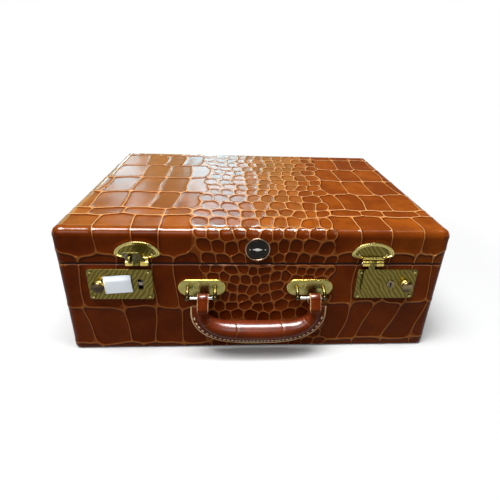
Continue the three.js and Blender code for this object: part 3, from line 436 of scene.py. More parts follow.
@cache
def hide_finish():
    look = leather("Embossed hide", Coat_Roughness=0.14)
    shades = colours()
    grain = look.placed(leather_grain(), Scale=1.0)
    tone = look.plus(grain["Tone"], look.times(look.attribute("shade"), 0.16))
    light = look.spread(tone, 0.36, 0.72)
    scale = look.mixed(light, shades.scale, shades.scale_light)
    # Partly painted light: on the top and on the right of the front, the scales take the lighter colours of
    # the top
    faded = look.mixed(light, shades.faded, shades.faded_light)
    scale = look.mixed(look.attribute("faded"), scale, faded)
    streaks = look.noise(90.0, 4.0, 0.6, stretch=(6, 1, 1))
    scale = look.mixed(look.spread(streaks, 0.45, 0.8, 0.0, 0.25), scale, shades.scale)
    coloured, crest, rubbed = creased(look, scale)
    scuffs = look.spread(look.times(look.attribute("worn"), rubbed), 0.2, 0.28)
    scuffed = look.mixed(scuffs, coloured, shades.ridge)
    # Painted shadow: where "dark" is set, along the lid's rim, the hide takes the enamel's near-black colour
    look.paint(look.attribute("dark"), scuffed, shades.enamel)
    dulled = look.math("MAXIMUM", crest, scuffs)
    polish = look.times(look.attribute("polish"), look.spread(dulled, 0.0, 1.0, 1.0, 0.8))
    look.set("Coat Weight", look.times(polish, 0.9))
    look.set("Roughness", look.spread(dulled, 0.0, 1.0, 0.2, 0.42))
    look.bump(grain["Height"], 0.16, 0.6 * MM)
    return look.material


@cache
def strap_finish():
    look = leather("Strap leather", Coat_Roughness=0.27, Coat_IOR=1.8)
    shades = colours()
    grain = look.placed(leather_grain(), Scale=1.3)
    tone = look.mixed(look.spread(grain["Tone"], 0.3, 0.75), shades.strap, shades.scale)
    look.set("Base Color", creased(look, tone)[0])
    look.set("Coat Weight", look.attribute("polish"))
    look.set("Roughness", look.spread(grain["Tone"], 0.3, 0.75, 0.22, 0.36))
    look.bump(grain["Height"], 0.3, 0.6 * MM)
    return look.material


@cache
def edge_finish():
    look = Look("Cut leather edge", Roughness=0.7)
    shades = colours()
    grain = look.placed(leather_grain(), Scale=2.0)
    dark = look.mixed(0.55, shades.raw_edge, shades.strap)
    look.paint(look.spread(grain["Tone"], 0.4, 0.7), shades.raw_edge, dark)
    look.bump(grain["Height"], 0.6, 0.8 * MM)
    return look.material


# Tarnished metals: bright colour, dark colour, share of the dark one and fineness of the patina
METALS = {
    "Aged brass": ("aged_brass", "aged_dark", 0.75, 1.0),
    "Rubbed brass": ("tan_brass", "aged_brass", 0.6, 1.3),
    "Rim brass": ("rim_brass", "aged_brass", 0.4, 1.3),
    "Bright brass": ("bright_brass", "aged_brass", 0.6, 1.0),
    "Neck brass": ("neck_brass", "neck_dark", 1.6, 1.0),
    "Dark bronze": ("bronze", "aged_dark", 0.6, 1.5),
    "Worn nickel": ("nickel", "nickel_dark", 0.8, 1.0),
    "Pale steel": ("steel", "steel_dark", 0.4, 1.0),
    "Dark steel": ("iron", "iron_dark", 0.5, 1.0),
    "Worn gilt": ("gilt", "gilt_dark", 0.6, 1.0),
}


@cache
def metal(name):
    look = Look(name, Metallic=1.0)
    bright, dark, amount, scale = METALS[name]
    bright, dark = (getattr(colours(), colour) for colour in (bright, dark))
    aged = look.placed(tarnish(), Bright=bright, Dark=dark, Scale=scale, Amount=amount)
    look.set("Base Color", aged["Color"])
    look.set("Roughness", aged["Roughness"])
    look.bump(aged["Height"], 0.25, 0.4 * MM)
    return look.material


@cache
def knob_dome():
    """Head of a slide knob, with painted light and shade: lighter above, darker below, and darker on the left
    knob.
    """
    look = Look("Knob dome", Metallic=1.0)
    shades = colours()
    lower = look.spread(look.coordinate("X"), -0.1, 0.1, -4.5 * MM, 0.0)
    level = look.plus(look.coordinate("Z"), lower)
    level = look.plus(level, look.times(look.noise(300.0, 4.0, 0.6), 4 * MM))
    # Painted shade: dark below, fading upward, reaching higher on the left knob
    painted_shade_below = look.spread(level, (LOCK_Z - 1.5) * MM, (LOCK_Z + 7) * MM, 1.0, 0.0)
    aged = look.placed(tarnish(), Bright=shades.knob, Dark=shades.knob_dark, Amount=0.6)
    look.paint(painted_shade_below, aged["Color"], shades.grime)
    look.set("Roughness", look.spread(painted_shade_below, 0.0, 1.0, 0.25, 0.45))
    look.bump(aged["Height"], 0.2, 0.3 * MM)
    return look.material


@cache
def turned_brass():
    """Brass of the lock plates and hasps, with wavy diagonal stripes rolled into it."""
    look = Look("Engine-turned brass", Metallic=0.9)
    shades = colours()
    outward = look.math("ABSOLUTE", look.coordinate("X"))
    slant = look.plus(look.times(outward, 1.5), look.coordinate("Z"))
    phase = look.plus(look.times(slant, 860.0), look.times(look.noise(55.0, 2.0), 13.0))
    wave = look.plus(look.math("SINE", phase), look.times(look.noise(420.0, 3.0, 0.6), 0.5))
    stripe = look.spread(wave, -0.5, 1.0)
    aged = look.placed(
        tarnish(), Bright=shades.aged_brass, Dark=shades.aged_dark, Scale=1.2, Amount=0.35)
    shaded = look.mixed(0.6, aged["Color"], shades.aged_dark)
    look.paint(stripe, shaded, aged["Color"])
    look.set("Roughness", look.spread(stripe, 0.0, 1.0, 0.5, 0.3))
    look.bump(look.plus(stripe, look.times(aged["Height"], 0.4)), 0.35, 0.3 * MM)
    return look.material


@cache
def cloth_finish():
    look = Look("Lining cloth", Roughness=0.85, Sheen_Weight=0.25)
    shades = colours()
    weave = look.placed(woven(), Pitch=1.1 * MM)
    dark = look.mixed(0.45, shades.cloth, shades.cloth_dark)
    tone = look.plus(weave["Tone"], look.times(weave["Height"], 0.2))
    look.paint(look.spread(tone, 0.3, 0.8), dark, shades.cloth)
    look.bump(weave["Height"], 0.5, 0.3 * MM)
    return look.material


@cache
def board_finish():
    look = Look("Raw board", Roughness=0.75)
    shades = colours()
    rings = look.noise(60.0, 4.0, 0.6, 0.6, stretch=(1, 9, 9))
    look.paint(look.spread(rings, 0.3, 0.7), shades.board_dark, shades.board)
    look.bump(rings, 0.3, 0.5 * MM)
    return look.material


@cache
def mirror_finish():
    look = Look("Silvered glass", Metallic=1.0)
    shades = colours()
    haze = look.noise(25.0, 4.0, 0.6)
    look.paint(haze, shades.silver, shades.silver_haze)
    look.set("Roughness", look.spread(haze, 0.4, 0.9, 0.015, 0.06))
    return look.material


@cache
def enamel_finish():
    look = Look("Black enamel", Specular_IOR_Level=0.12)
    shades = colours()
    dust = look.noise(700.0, 3.0, 0.6)
    look.paint(look.spread(dust, 0.55, 0.85, 0.0, 0.5), shades.enamel, shades.dust)
    look.set("Roughness", look.spread(dust, 0.3, 0.8, 0.18, 0.35))
    return look.material


@cache
def thread_finish():
    look = Look("Waxed thread", Roughness=0.6, Sheen_Weight=0.3)
    shades = colours()
    twist = look.noise(1500.0, 2.0, stretch=(1, 1, 3))
    dark = look.mixed(0.5, shades.thread, shades.thread_dark)
    look.paint(look.spread(twist, 0.3, 0.7), dark, shades.thread)
    look.bump(twist, 0.5, 0.3 * MM)
    return look.material


@cache
def paper_finish():
    look = Look("Paper", Roughness=0.7)
    shades = colours()
    fibres = look.noise(900.0, 4.0, 0.7)
    look.paint(look.spread(fibres, 0.3, 0.8), shades.paper, shades.paper_dark)
    look.bump(fibres, 0.2, 0.2 * MM)
    return look.material


# Mesh helpers. Pieces are drawn in millimetres and made metres when they are finished.

def finished(bm, name, body, slot, materials, nodes=(), smooth=38.0, scale=MM):
    """Turns a bmesh into a piece that rides on a body and stands for the named nodes."""
    bmesh.ops.scale(bm, vec=(scale, scale, scale), verts=bm.verts)
    place = bm.verts.layers.int.get("place")
    if place:
        bm.verts.layers.int.remove(place)
    mesh = bpy.data.meshes.new(name)
    bm.to_mesh(mesh)
    bm.free()
    mesh.shade_smooth()
    mesh.set_sharp_from_angle(angle=math.radians(smooth))
    for material in materials:
        mesh.materials.append(material)
    piece = bpy.data.objects.new(name, mesh)
    bpy.context.scene.collection.objects.link(piece)
    if nodes:
        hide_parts(*nodes)
    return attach(piece, body)


def body_of(name):
    for body, nodes in frame["record"]["behaviour"]["bodies"].items():
        if name in nodes:
            return body
    raise ValueError(f"no body holds {name}")


def slot_of(name):
    for row in frame["record"]["subparts"]:
        if row["node"] == name:
            return row["material_slot"]
    raise ValueError(f"no slot for {name}")


def dressed(bm, name, materials, smooth=38.0, scale=MM):
    """Turns a bmesh into the piece that replaces a frame node, on the node's body."""
    return finished(
        bm, f"{name}_dressed", body_of(name), slot_of(name), materials, [name], smooth, scale)


def refined(name, materials, edge, smooth=38.0):
    """A merged copy of a frame node with its sharp edges eased, in the last of its materials."""
    bm = bmesh.new()
    bm.from_mesh(frame["nodes"][name].data)
    bmesh.ops.remove_doubles(bm, verts=bm.verts, dist=0.005 * MM)
    bmesh.ops.dissolve_limit(
        bm, angle_limit=math.radians(0.5), verts=bm.verts, edges=bm.edges, delimit=set())
    if edge:
        sharp = [line for line in bm.edges if line.calc_face_angle(0) > math.radians(50)]
        for face in bevelled(bm, sharp, edge * MM):
            face.material_index = len(materials) - 1
    return dressed(bm, name, materials, smooth, scale=1)


def bevelled(bm, edges, offset, segments=2):
    return bmesh.ops.bevel(
        bm, geom=list(edges), offset=offset, offset_type="OFFSET", segments=segments,
        profile=0.5, affect="EDGES", clamp_overlap=True, material=-1)["faces"]


def tinted(piece, index, chosen):
    """Gives the faces that a test chooses another of the piece's materials."""
    for face in piece.data.polygons:
        if chosen(face):
            face.material_index = index


def polished(piece):
    """Marks where a leather piece faces upward, for the shine of its worn polish."""
    mesh = piece.data
    normals = np.empty(len(mesh.vertices) * 3)
    mesh.vertices.foreach_get("normal", normals)
    upward = smoothed((normals.reshape(-1, 3)[:, 2] - 0.3) / 0.35)
    mesh.attributes.new("polish", "FLOAT", "POINT").data.foreach_set("value", upward.astype(np.float32))


def verts_in(geometry):
    return [part for part in geometry if isinstance(part, bmesh.types.BMVert)]


def grown(bm, edges):
    """Extrudes a ring of edges. Gives back its new vertices and its new edges."""
    geometry = bmesh.ops.extrude_edge_only(bm, edges=edges)["geom"]
    fresh = verts_in(geometry)
    known = set(fresh)
    return fresh, [
        part for part in geometry
        if isinstance(part, bmesh.types.BMEdge) and known.issuperset(part.verts)]


def raised(bm, faces, height):
    """Extrudes flat faces upward. Gives back the vertices of their new tops."""
    tops = verts_in(bmesh.ops.extrude_face_region(bm, geom=list(faces))["geom"])
    bmesh.ops.translate(bm, vec=(0, 0, height), verts=tops)
    return tops


def block(bm, size, centre):
    verts = bmesh.ops.create_cube(bm, size=1)["verts"]
    bmesh.ops.scale(bm, vec=size, verts=verts)
    bmesh.ops.translate(bm, vec=centre, verts=verts)


def lofted(bm, rings):
    """Extrudes a first ring of points through the others and closes both ends.

    The layer "place" keeps each point's place in its ring, until the piece is finished.
    """
    layer = bm.verts.layers.int.get("place") or bm.verts.layers.int.new("place")
    first = [bm.verts.new(point) for point in rings[0]]
    for place, vert in enumerate(first):
        vert[layer] = place
    edges = [bm.edges.new((first[i - 1], first[i])) for i in range(len(first))]
    bm.faces.new(list(reversed(first)))
    for ring in rings[1:]:
        verts, edges = grown(bm, edges)
        for vert in verts:
            vert.co = ring[vert[layer]]
    bm.faces.new(sorted(verts, key=lambda vert: vert[layer]))
    return bm


def spun(profile, matrix, steps=None, bm=None):
    """Turns a profile of (radius, height) round Z, in a mesh of its own or beside what a mesh holds."""
    bm = bm or bmesh.new()
    for vert in bm.verts:
        vert.tag = True
    verts = [bm.verts.new((radius, 0, height)) for radius, height in profile]
    edges = [bm.edges.new(pair) for pair in zip(verts, verts[1:])]
    bmesh.ops.spin(
        bm, geom=verts + edges, cent=(0, 0, 0), axis=(0, 0, 1), angle=2 * math.pi,
        steps=steps or sizes().turn_steps, use_merge=True, use_duplicate=False)
    fresh = [vert for vert in bm.verts if not vert.tag]
    bmesh.ops.remove_doubles(bm, verts=fresh, dist=0.0005)
    fresh = [vert for vert in bm.verts if not vert.tag]
    faces = {face for vert in fresh for face in vert.link_faces}
    bmesh.ops.recalc_face_normals(bm, faces=list(faces))
    bmesh.ops.transform(bm, matrix=matrix, verts=fresh)
    return bm


def dome(radius, foot, height, steps):
    """Profile of a dome, from just above its foot to its crown."""
    turns = [QUARTER * i / steps for i in range(1, steps)]
    sides = [(radius * math.cos(turn), foot + height * math.sin(turn)) for turn in turns]
    return sides + [(0, foot + height)]


def facing_front(x, y, z):
    """Places a piece drawn flat, its Z towards the front of the case."""
    turn = Matrix(((1, 0, 0), (0, 0, -1), (0, 1, 0))).to_4x4()
    return Matrix.Translation((x, y, z)) @ turn


def along_x(y, z):
    """Places a piece turned round Z, its axis along X."""
    turn = Matrix(((0, 0, 1), (0, 1, 0), (-1, 0, 0))).to_4x4()
    return Matrix.Translation((0, y, z)) @ turn


def smoothed(value):
    """An even rise from 0 to 1, flat at both ends."""
    value = np.clip(value, 0, 1)
    return value * value * (3 - 2 * value)


# Hide: rows of large scales at the sides and small ones in the middle, with ridges between them

class Scales:
    """All scales of the hide, as centres and half sizes on the sheet laid flat."""

    # Least and greatest width of the large scales beyond the listed ridges
    side_widths = 29, 44
    # How far, in millimetres, ridges that meet melt into each other
    soft = 0.8
    # How many of the nearest scales are compared at a place, and how many places at a time
    neighbours = 6
    places_at_once = 12000

    def __init__(self):
        self.rows = []
        draw = np.random.default_rng(11)
        for rows, sign in ((LEFT_ROWS, -1), (RIGHT_ROWS, 1)):
            for low, high, across in rows:
                self.add_large(low, high, sign, sorted(abs(x) for x in across), draw)
        for row in MIDDLE_ROWS:
            self.add_small(*row)
        table = np.array(self.rows)
        self.across, self.up, self.half_across, self.half_up, self.small, self.lean = table.T
        self.shade = draw.uniform(-1, 1, len(table))

    def add_large(self, low, high, sign, ridges, draw):
        """Large scales of one row, outward from the middle and on round the walls."""
        if low < LID_ROUND_FOOT:
            while ridges[-1] < BACK_SEAM:
                ridges.append(ridges[-1] + draw.uniform(*self.side_widths))
        else:
            ridges.append(FLAT_X + ARC + 16)
        for inner, outer in zip(ridges, ridges[1:]):
            middle = (inner + outer) / 2
            self.rows.append((
                sign * middle, (low + high) / 2, (outer - inner) / 2, (high - low) / 2, 0,
                self.leaning_large(middle, low, sign)))

    def leaning_large(self, middle, low, sign):
        """How far a large scale leans: only those of the lowest row do, towards the front corners."""
        start = 100 if sign > 0 else 150
        return 0.3 * sign if 5 < low < 20 and start < middle < 190 else 0

    def limits(self, level):
        """Where the small scales end on the left and the right at a level of the sheet."""
        left = [max(across) for low, high, across in LEFT_ROWS if low <= level < high]
        right = [min(across) for low, high, across in RIGHT_ROWS if low <= level < high]
        return left[0], right[0]

    def add_small(self, level, half_up, places):
        """Small scales of one row, wherever no large scale lies."""
        left, right = self.limits(level)
        before = (2 * places[0] - places[1], *places)
        after = (*places[1:], 2 * places[-1] - places[-2])
        for low, middle, high in zip(before, places, after):
            if left < middle < right:
                bow = BOW_RISE * ((middle - BOW_MIDDLE) / BOW_HALF) ** 2 if level > BOW_FIRST else 0
                stagger = 2.2 * math.sin(1.7 * middle + level)
                aside = 1.6 * math.sin(2.9 * middle + 0.7 * level)
                self.rows.append((
                    middle + aside, level + bow + stagger, (high - low) / 4, half_up, 1,
                    self.leaning_small(middle, level)))

    def leaning_small(self, across, level):
        """How far a small scale leans to the right for each millimetre upward."""
        if level < LID_LOW.z:
            return 0.011 * max(across - 12, 0)
        return across * (0.009 if level < LID_HIGH.z else 0.003)

    def measure(self, across, up):
        """Distance to the nearest ridge, depth inside the scale, whether the scale is small, its shade and
        the way to the ridge, for each place on the sheet."""
        step = self.places_at_once
        parts = [
            self.measure_part(across[start:start + step], up[start:start + step])
            for start in range(0, len(across), step)]
        return [np.concatenate(rows, axis=-1) for rows in zip(*parts)]

    def measure_part(self, across, up):
        away_across = across[:, None] - self.across
        away_up = up[:, None] - self.up
        right = (away_across - self.lean * away_up) / self.half_across
        over = (away_up + 0.5 * self.lean * self.small * away_across) / self.half_up
        right_2, over_2 = right ** 2, over ** 2
        round_far = right_2 + over_2
        square_far = np.sqrt(right_2 ** 2 + over_2 ** 2)
        far = np.sqrt(np.where(self.small > 0, round_far, square_far))
        near = np.argpartition(far, self.neighbours, axis=1)[:, :self.neighbours]
        near_far = np.take_along_axis(far, near, 1)
        order = np.argsort(near_far, axis=1)
        near = np.take_along_axis(near, order, 1)
        near_far = np.maximum(np.take_along_axis(near_far, order, 1), 1e-6)
        x = np.take_along_axis(right, near, 1)
        y = np.take_along_axis(over, near, 1)
        small = self.small[near] > 0
        lean = self.lean[near]
        steep_x = np.where(small, x / near_far, x ** 3 / near_far ** 3) / self.half_across[near]
        steep_y = np.where(small, y / near_far, y ** 3 / near_far ** 3) / self.half_up[near]
        slope_x = steep_x + 0.5 * lean * small * steep_y
        slope_y = steep_y - lean * steep_x
        turn_x, turn_y = slope_x[:, 1:] - slope_x[:, :1], slope_y[:, 1:] - slope_y[:, :1]
        turn = np.maximum(np.hypot(turn_x, turn_y), 0.02)
        gaps = (near_far[:, 1:] - near_far[:, :1]) / turn
        gap = -self.soft * np.log(np.exp(-gaps / self.soft).sum(axis=1) + 1e-12)
        gap = np.maximum(gap, 0)
        steep = np.maximum(np.hypot(slope_x[:, 0], slope_y[:, 0]), 0.02)
        inside = (1 - near_far[:, 0]) / steep + np.where(small[:, 0], 0.8, 1.8)
        inside = np.exp(-np.maximum(inside, -4) / self.soft)
        oval = -self.soft * np.log(np.exp(-gap / self.soft) + inside)
        way = -gaps[:, 0] * np.stack([turn_x[:, 0], turn_y[:, 0]]) / turn[:, 0]
        first = near[:, 0]
        return gap, np.maximum(oval, 0), self.small[first], self.shade[first], way


def wobble(across, up):
    """A smooth sideways shift of the sheet, so that no ridge runs dead straight."""
    draw = np.random.default_rng(5)
    shift = np.zeros((2, len(across)))
    for length, reach in ((83.0, 1.3), (47.0, 0.8), (29.0, 0.5), (13.0, 0.15)):
        for way in (0, 1):
            turn = draw.uniform(0, 2 * math.pi)
            phase = draw.uniform(0, 2 * math.pi)
            angle = (across * math.cos(turn) + up * math.sin(turn)) * 2 * math.pi / length
            shift[way] += reach * np.sin(angle + phase)
    return across + shift[0], up + shift[1]


def rounded_length(value, flat, over):
    """Length along a flat and then round the corner beyond it, for points that high over its foot."""
    beyond = np.maximum(np.abs(value) - flat, 0)
    arc = np.where(beyond > 0, CORNER * (QUARTER - np.arctan2(over, beyond)), 0)
    return np.sign(value) * (np.minimum(np.abs(value), flat) + arc)


def sheet_place(points):
    """Where each point of the case lies on the sheet laid flat, and how far it is from a cut edge."""
    x, y, z = points.T
    top = z > LID_ROUND_FOOT + 0.01
    over = np.maximum(z - LID_ROUND_FOOT, 0)
    top_across = rounded_length(x, FLAT_X, over)
    top_up = TOP_MIDDLE + rounded_length(y, FLAT_Y, over)
    side = np.abs(x)
    corner = CORNER * np.arctan2(np.maximum(side - FLAT_X, 0), np.maximum(np.abs(y) - FLAT_Y, 1e-9))
    front_part = np.where(side < FLAT_X, side, FLAT_X + corner)
    side_part = FLAT_X + ARC + (y + FLAT_Y)
    back_part = BACK_SEAM - front_part
    around = np.where(y < -FLAT_Y, front_part, np.where(y > FLAT_Y, back_part, side_part))
    across = np.where(top, top_across, np.where(x < 0, -1, 1) * around)
    up = np.where(top, top_up, z)
    arc_level = CORNER * np.arcsin(np.clip((z - LID_ROUND_FOOT) / CORNER, 0, 1))
    from_foot = np.where(top, arc_level, LID_ROUND_FOOT - z)
    cut = np.where(around > FLAT_X + 0.55 * ARC, from_foot, FAR)
    return across, up, np.minimum(cut, BACK_SEAM - around + np.where(top, FAR, 0))


def drawn_to_ridges(skin, outward, rim):
    """Slides the points near a ridge along the surface until they lie on its middle."""
    across, up, cut = sheet_place(skin)
    way = SCALES.measure(*wobble(across, up))[-1]
    top = (skin[:, 2] > LID_ROUND_FOOT + 0.01)[:, None]
    over_top = np.cross(outward, (1.0, 0, 0))
    over_top /= np.maximum(np.linalg.norm(over_top, axis=1), 1e-6)[:, None]
    upward = np.where(top, over_top, (0.0, 0, 1.0))
    sideways = np.cross(upward, outward)
    pitch = sizes().mesh_pitch / MM
    free = (np.abs(skin[:, 0]) < FLAT_X) | (np.abs(skin[:, 1]) < FLAT_Y)
    free &= (cut > 2 * pitch) & (np.abs(skin[:, 2] - rim) > 1.6 * pitch) & (skin[:, 2] > 6)
    free &= np.hypot(*way) < 0.55 * pitch
    skin += free[:, None] * (sideways * way[0][:, None] + upward * way[1][:, None])


def split_along_ridges(mesh, outer):
    """Joins outer points that met on a ridge and cuts each face along the diagonal that follows it."""
    bm = bmesh.new()
    bm.from_mesh(mesh)
    ridge = bm.verts.layers.float["ridge"]
    bm.verts.ensure_lookup_table()
    skin = [bm.verts[place] for place in outer]
    bmesh.ops.remove_doubles(bm, verts=skin, dist=0.25 * sizes().mesh_pitch)
    first, second = [], []
    for face in bm.faces:
        if len(face.verts) == 4:
            a, b, c, d = (vert[ridge] for vert in face.verts)
            (first if a + c >= b + d else second).append(face)
    bmesh.ops.triangulate(bm, faces=first, quad_method="FIXED")
    bmesh.ops.triangulate(bm, faces=second, quad_method="ALTERNATE")
    bm.to_mesh(mesh)
    bm.free()


def cut_staple_windows(bm):
    """Opens the base's hide behind the staple slot of each lock plate, through both of its faces."""
    half_across, half_up = 3.7, 7.3
    for sign in (-1, 1):
        def at_slot(part, reach_up):
            place = part.calc_center_median()
            beside = abs(place.x - sign * SLOT_X)
            return beside < half_across and abs(place.z - LOCK_Z) < reach_up and place.y < FRONT + 1.5
        columns = [face for face in bm.faces if at_slot(face, HALF_DEPTH) and len(face.verts) == 4]
        inner = [face for face in columns if face.calc_center_median().y > FRONT + HIDE_THICKNESS - 0.1]
        for level in (LOCK_Z - half_up, LOCK_Z + half_up):
            parts = set(inner) | {edge for face in inner for edge in face.edges}
            parts |= {vert for face in inner for vert in face.verts}
            cut = bmesh.ops.bisect_plane(bm, geom=list(parts), plane_co=(0, 0, level), plane_no=(0, 0, 1))
            inner = [part for part in cut["geom"] if isinstance(part, bmesh.types.BMFace)]
        window = [face for face in bm.faces if at_slot(face, half_up)]
        bmesh.ops.delete(bm, geom=window, context="FACES")
        bmesh.ops.bridge_loops(bm, edges=[edge for edge in bm.edges if edge.is_boundary])


def pressed(skin):
    """1 under the fittings of the front, where the hide lies flat, fading just outside them."""
    x, z = np.abs(skin[:, 0]), skin[:, 2]
    low, high = box_of("right_lock_plate")
    beside = np.maximum(np.maximum(low.x - x, x - high.x), 0)
    lock = np.hypot(beside, np.maximum(np.abs(z - LOCK_Z) - (high.z - low.z) / 2, 0))
    level = HASP_Z + HASP_WIDEST
    reach_up = np.where(z > level, HASP_RISE, HASP_DROP + 1)
    hasp = (np.hypot((x - HASP_X) / (HASP_WIDTH / 2), (z - level) / reach_up) - 1) * 12
    mount = np.hypot(np.maximum(np.abs(x - MOUNT_X) - MOUNT_HALF, 0), z - MOUNT_Z) - MOUNT_RADIUS
    badge = np.hypot(x, z - BADGE_Z) - BADGE_RADIUS
    away = np.minimum(np.minimum(lock, hasp), np.minimum(mount, badge))
    return np.where(skin[:, 1] < -FLAT_Y, 1 - smoothed(away / 1.5), 0)


def places_of(mesh):
    """Places of a mesh's vertices, in rows."""
    places = np.empty(len(mesh.vertices) * 3)
    mesh.vertices.foreach_get("co", places)
    return places.reshape(-1, 3)


def embossed(piece, outer, outward, lid):
    """Sinks the scales between the raised ridges and writes what the material reads."""
    mesh = piece.data
    rim = LID_LOW.z if lid else CASE_HIGH.z
    points = places_of(mesh)
    skin = points[outer] / MM
    drawn_to_ridges(skin, outward, rim)
    across, up, cut = sheet_place(skin)
    gap, oval, small, shade, way = SCALES.measure(*wobble(across, up))
    x, y, z = skin.T
    from_side, from_front, from_back = FLAT_X - np.abs(x), FLAT_Y - np.abs(y), FLAT_Y - y
    from_rim = np.abs(z - rim)
    above = z - LID_ROUND_FOOT
    level = np.abs(way[1]) / np.maximum(np.hypot(*way), 0.05)
    on_top = smoothed((above - 4) / 4)
    wide = np.where(small > 0, 0.92 - 0.17 * on_top, 1 + 0.75 * level ** 2)
    gap, oval = np.minimum(gap / wide, cut), np.minimum(oval / wide, cut)
    sunk = smoothed((oval - sizes().ridge_half / MM) / (1.4 + 0.5 * small))
    dish = 0.18 * smoothed(oval / 7)
    depth = (sizes().relief_depth / MM * sunk + dish) * (1 - on_top * (0.25 + 0.2 * small))
    inward = np.hypot(np.maximum(from_side, 0), np.maximum(from_front, 0))
    depth *= (1 - pressed(skin)) * (1 - 0.5 * smoothed(1 - inward / 5))
    depth *= 1 - 0.6 * smoothed(1 - np.minimum(from_side, from_back) / 4) * smoothed(above / 3)
    points[outer] = (skin - outward * depth[:, None]) * MM
    mesh.vertices.foreach_set("co", points.ravel())

    ridge = 1 - np.clip(gap / RIDGE_REACH, 0, 1)
    valley = 1 - np.clip(oval / RIDGE_REACH, 0, 1)
    # Painted shade: 1 on the side of a ridge below and right of it, away from the key lamp
    painted_shade_side = smoothed(0.5 + 0.8 * (0.83 * way[1] - 0.55 * way[0]) / (np.hypot(*way) + 0.3))
    from_corner = np.hypot(np.maximum(HALF_WIDTH - np.abs(x), 0), np.maximum(HALF_DEPTH - np.abs(y), 0))
    worn = smoothed(1 - from_rim / 7) * smoothed(1 - from_corner / 22)
    if lid:
        # Painted shadow of the seam: along the lid's rim the ridges go, the rims darken fully and the hide is
        # painted near black
        band = from_rim < 1.3
        ridge, valley, painted_shade_side = np.where(band, 0, ridge), np.where(band, 1, valley), np.where(band, 1, painted_shade_side)
        dark = np.where(from_rim < 1.5, 0.95, 0)
        polish = smoothed((above - 3.5) / 2) * smoothed(1 - np.minimum(from_side, from_front) / 3)
        # The top's own fade with painted light on it, and painted light on the right of the lid's front
        faded = np.maximum(smoothed((above - 2) / 7), 0.5 * smoothed((x - 60) / 110))
    else:
        # Painted highlight: the base's rim band takes most of the ridge's light colour, a light line along
        # the seam
        band = from_rim < 1.0
        ridge = np.maximum(ridge, np.where(band, 0.8, 0))
        dark, polish = 0, band
        # Painted light: the right of the base's front comes out lighter
        faded = 0.15 * smoothed((x - 40) / 110)
    marks = {
        "ridge": ridge, "valley": valley, "painted_shade_side": painted_shade_side, "shade": shade, "worn": worn, "dark": dark,
        "polish": polish, "faded": faded}
    for name, values in marks.items():
        whole = np.zeros(len(points), np.float32)
        whole[outer] = values
        mesh.attributes.new(name, "FLOAT", "POINT").data.foreach_set("value", whole)
    split_along_ridges(mesh, outer)
    mesh.update()


def outline_point(x, y):
    """The nearest corner centre and the way out for a point on the rim of the outline."""
    centre = Vector((max(-FLAT_X, min(FLAT_X, x)), max(-FLAT_Y, min(FLAT_Y, y))))
    out = Vector((x, y)) - centre
    return centre, out.normalized()


def on_arc(level):
    """Inset and depth of a point of the rounding, from a level on a square round it."""
    arm = Vector((CORNER, CORNER - level))
    arm *= CORNER / arm.length
    return CORNER - arm.x, CORNER - arm.y


def hide_sheet(lid):
    """The closed face of a hide: a grid all over the lid, one face with a finely cut rim on the base."""
    bm = bmesh.new()
    start = 0.0 if lid else BASE_EDGE
    wide, deep = 2 * (HALF_WIDTH - start), 2 * (HALF_DEPTH - start)
    pitch = sizes().mesh_pitch / MM
    steps_x, steps_y = round(wide / pitch), round(deep / pitch)
    if lid:
        bmesh.ops.create_grid(bm, x_segments=steps_x, y_segments=steps_y, size=0.5)
    else:
        bmesh.ops.create_grid(bm, x_segments=1, y_segments=1, size=0.5)
        along = [edge for edge in bm.edges if abs(edge.verts[0].co.x - edge.verts[1].co.x) > 0.5]
        across = [edge for edge in bm.edges if edge not in along]
        bmesh.ops.bisect_edges(bm, edges=along, cuts=steps_x - 1)
        bmesh.ops.bisect_edges(bm, edges=across, cuts=steps_y - 1)
    bmesh.ops.scale(bm, vec=(wide, deep, 1), verts=bm.verts)
    return bm


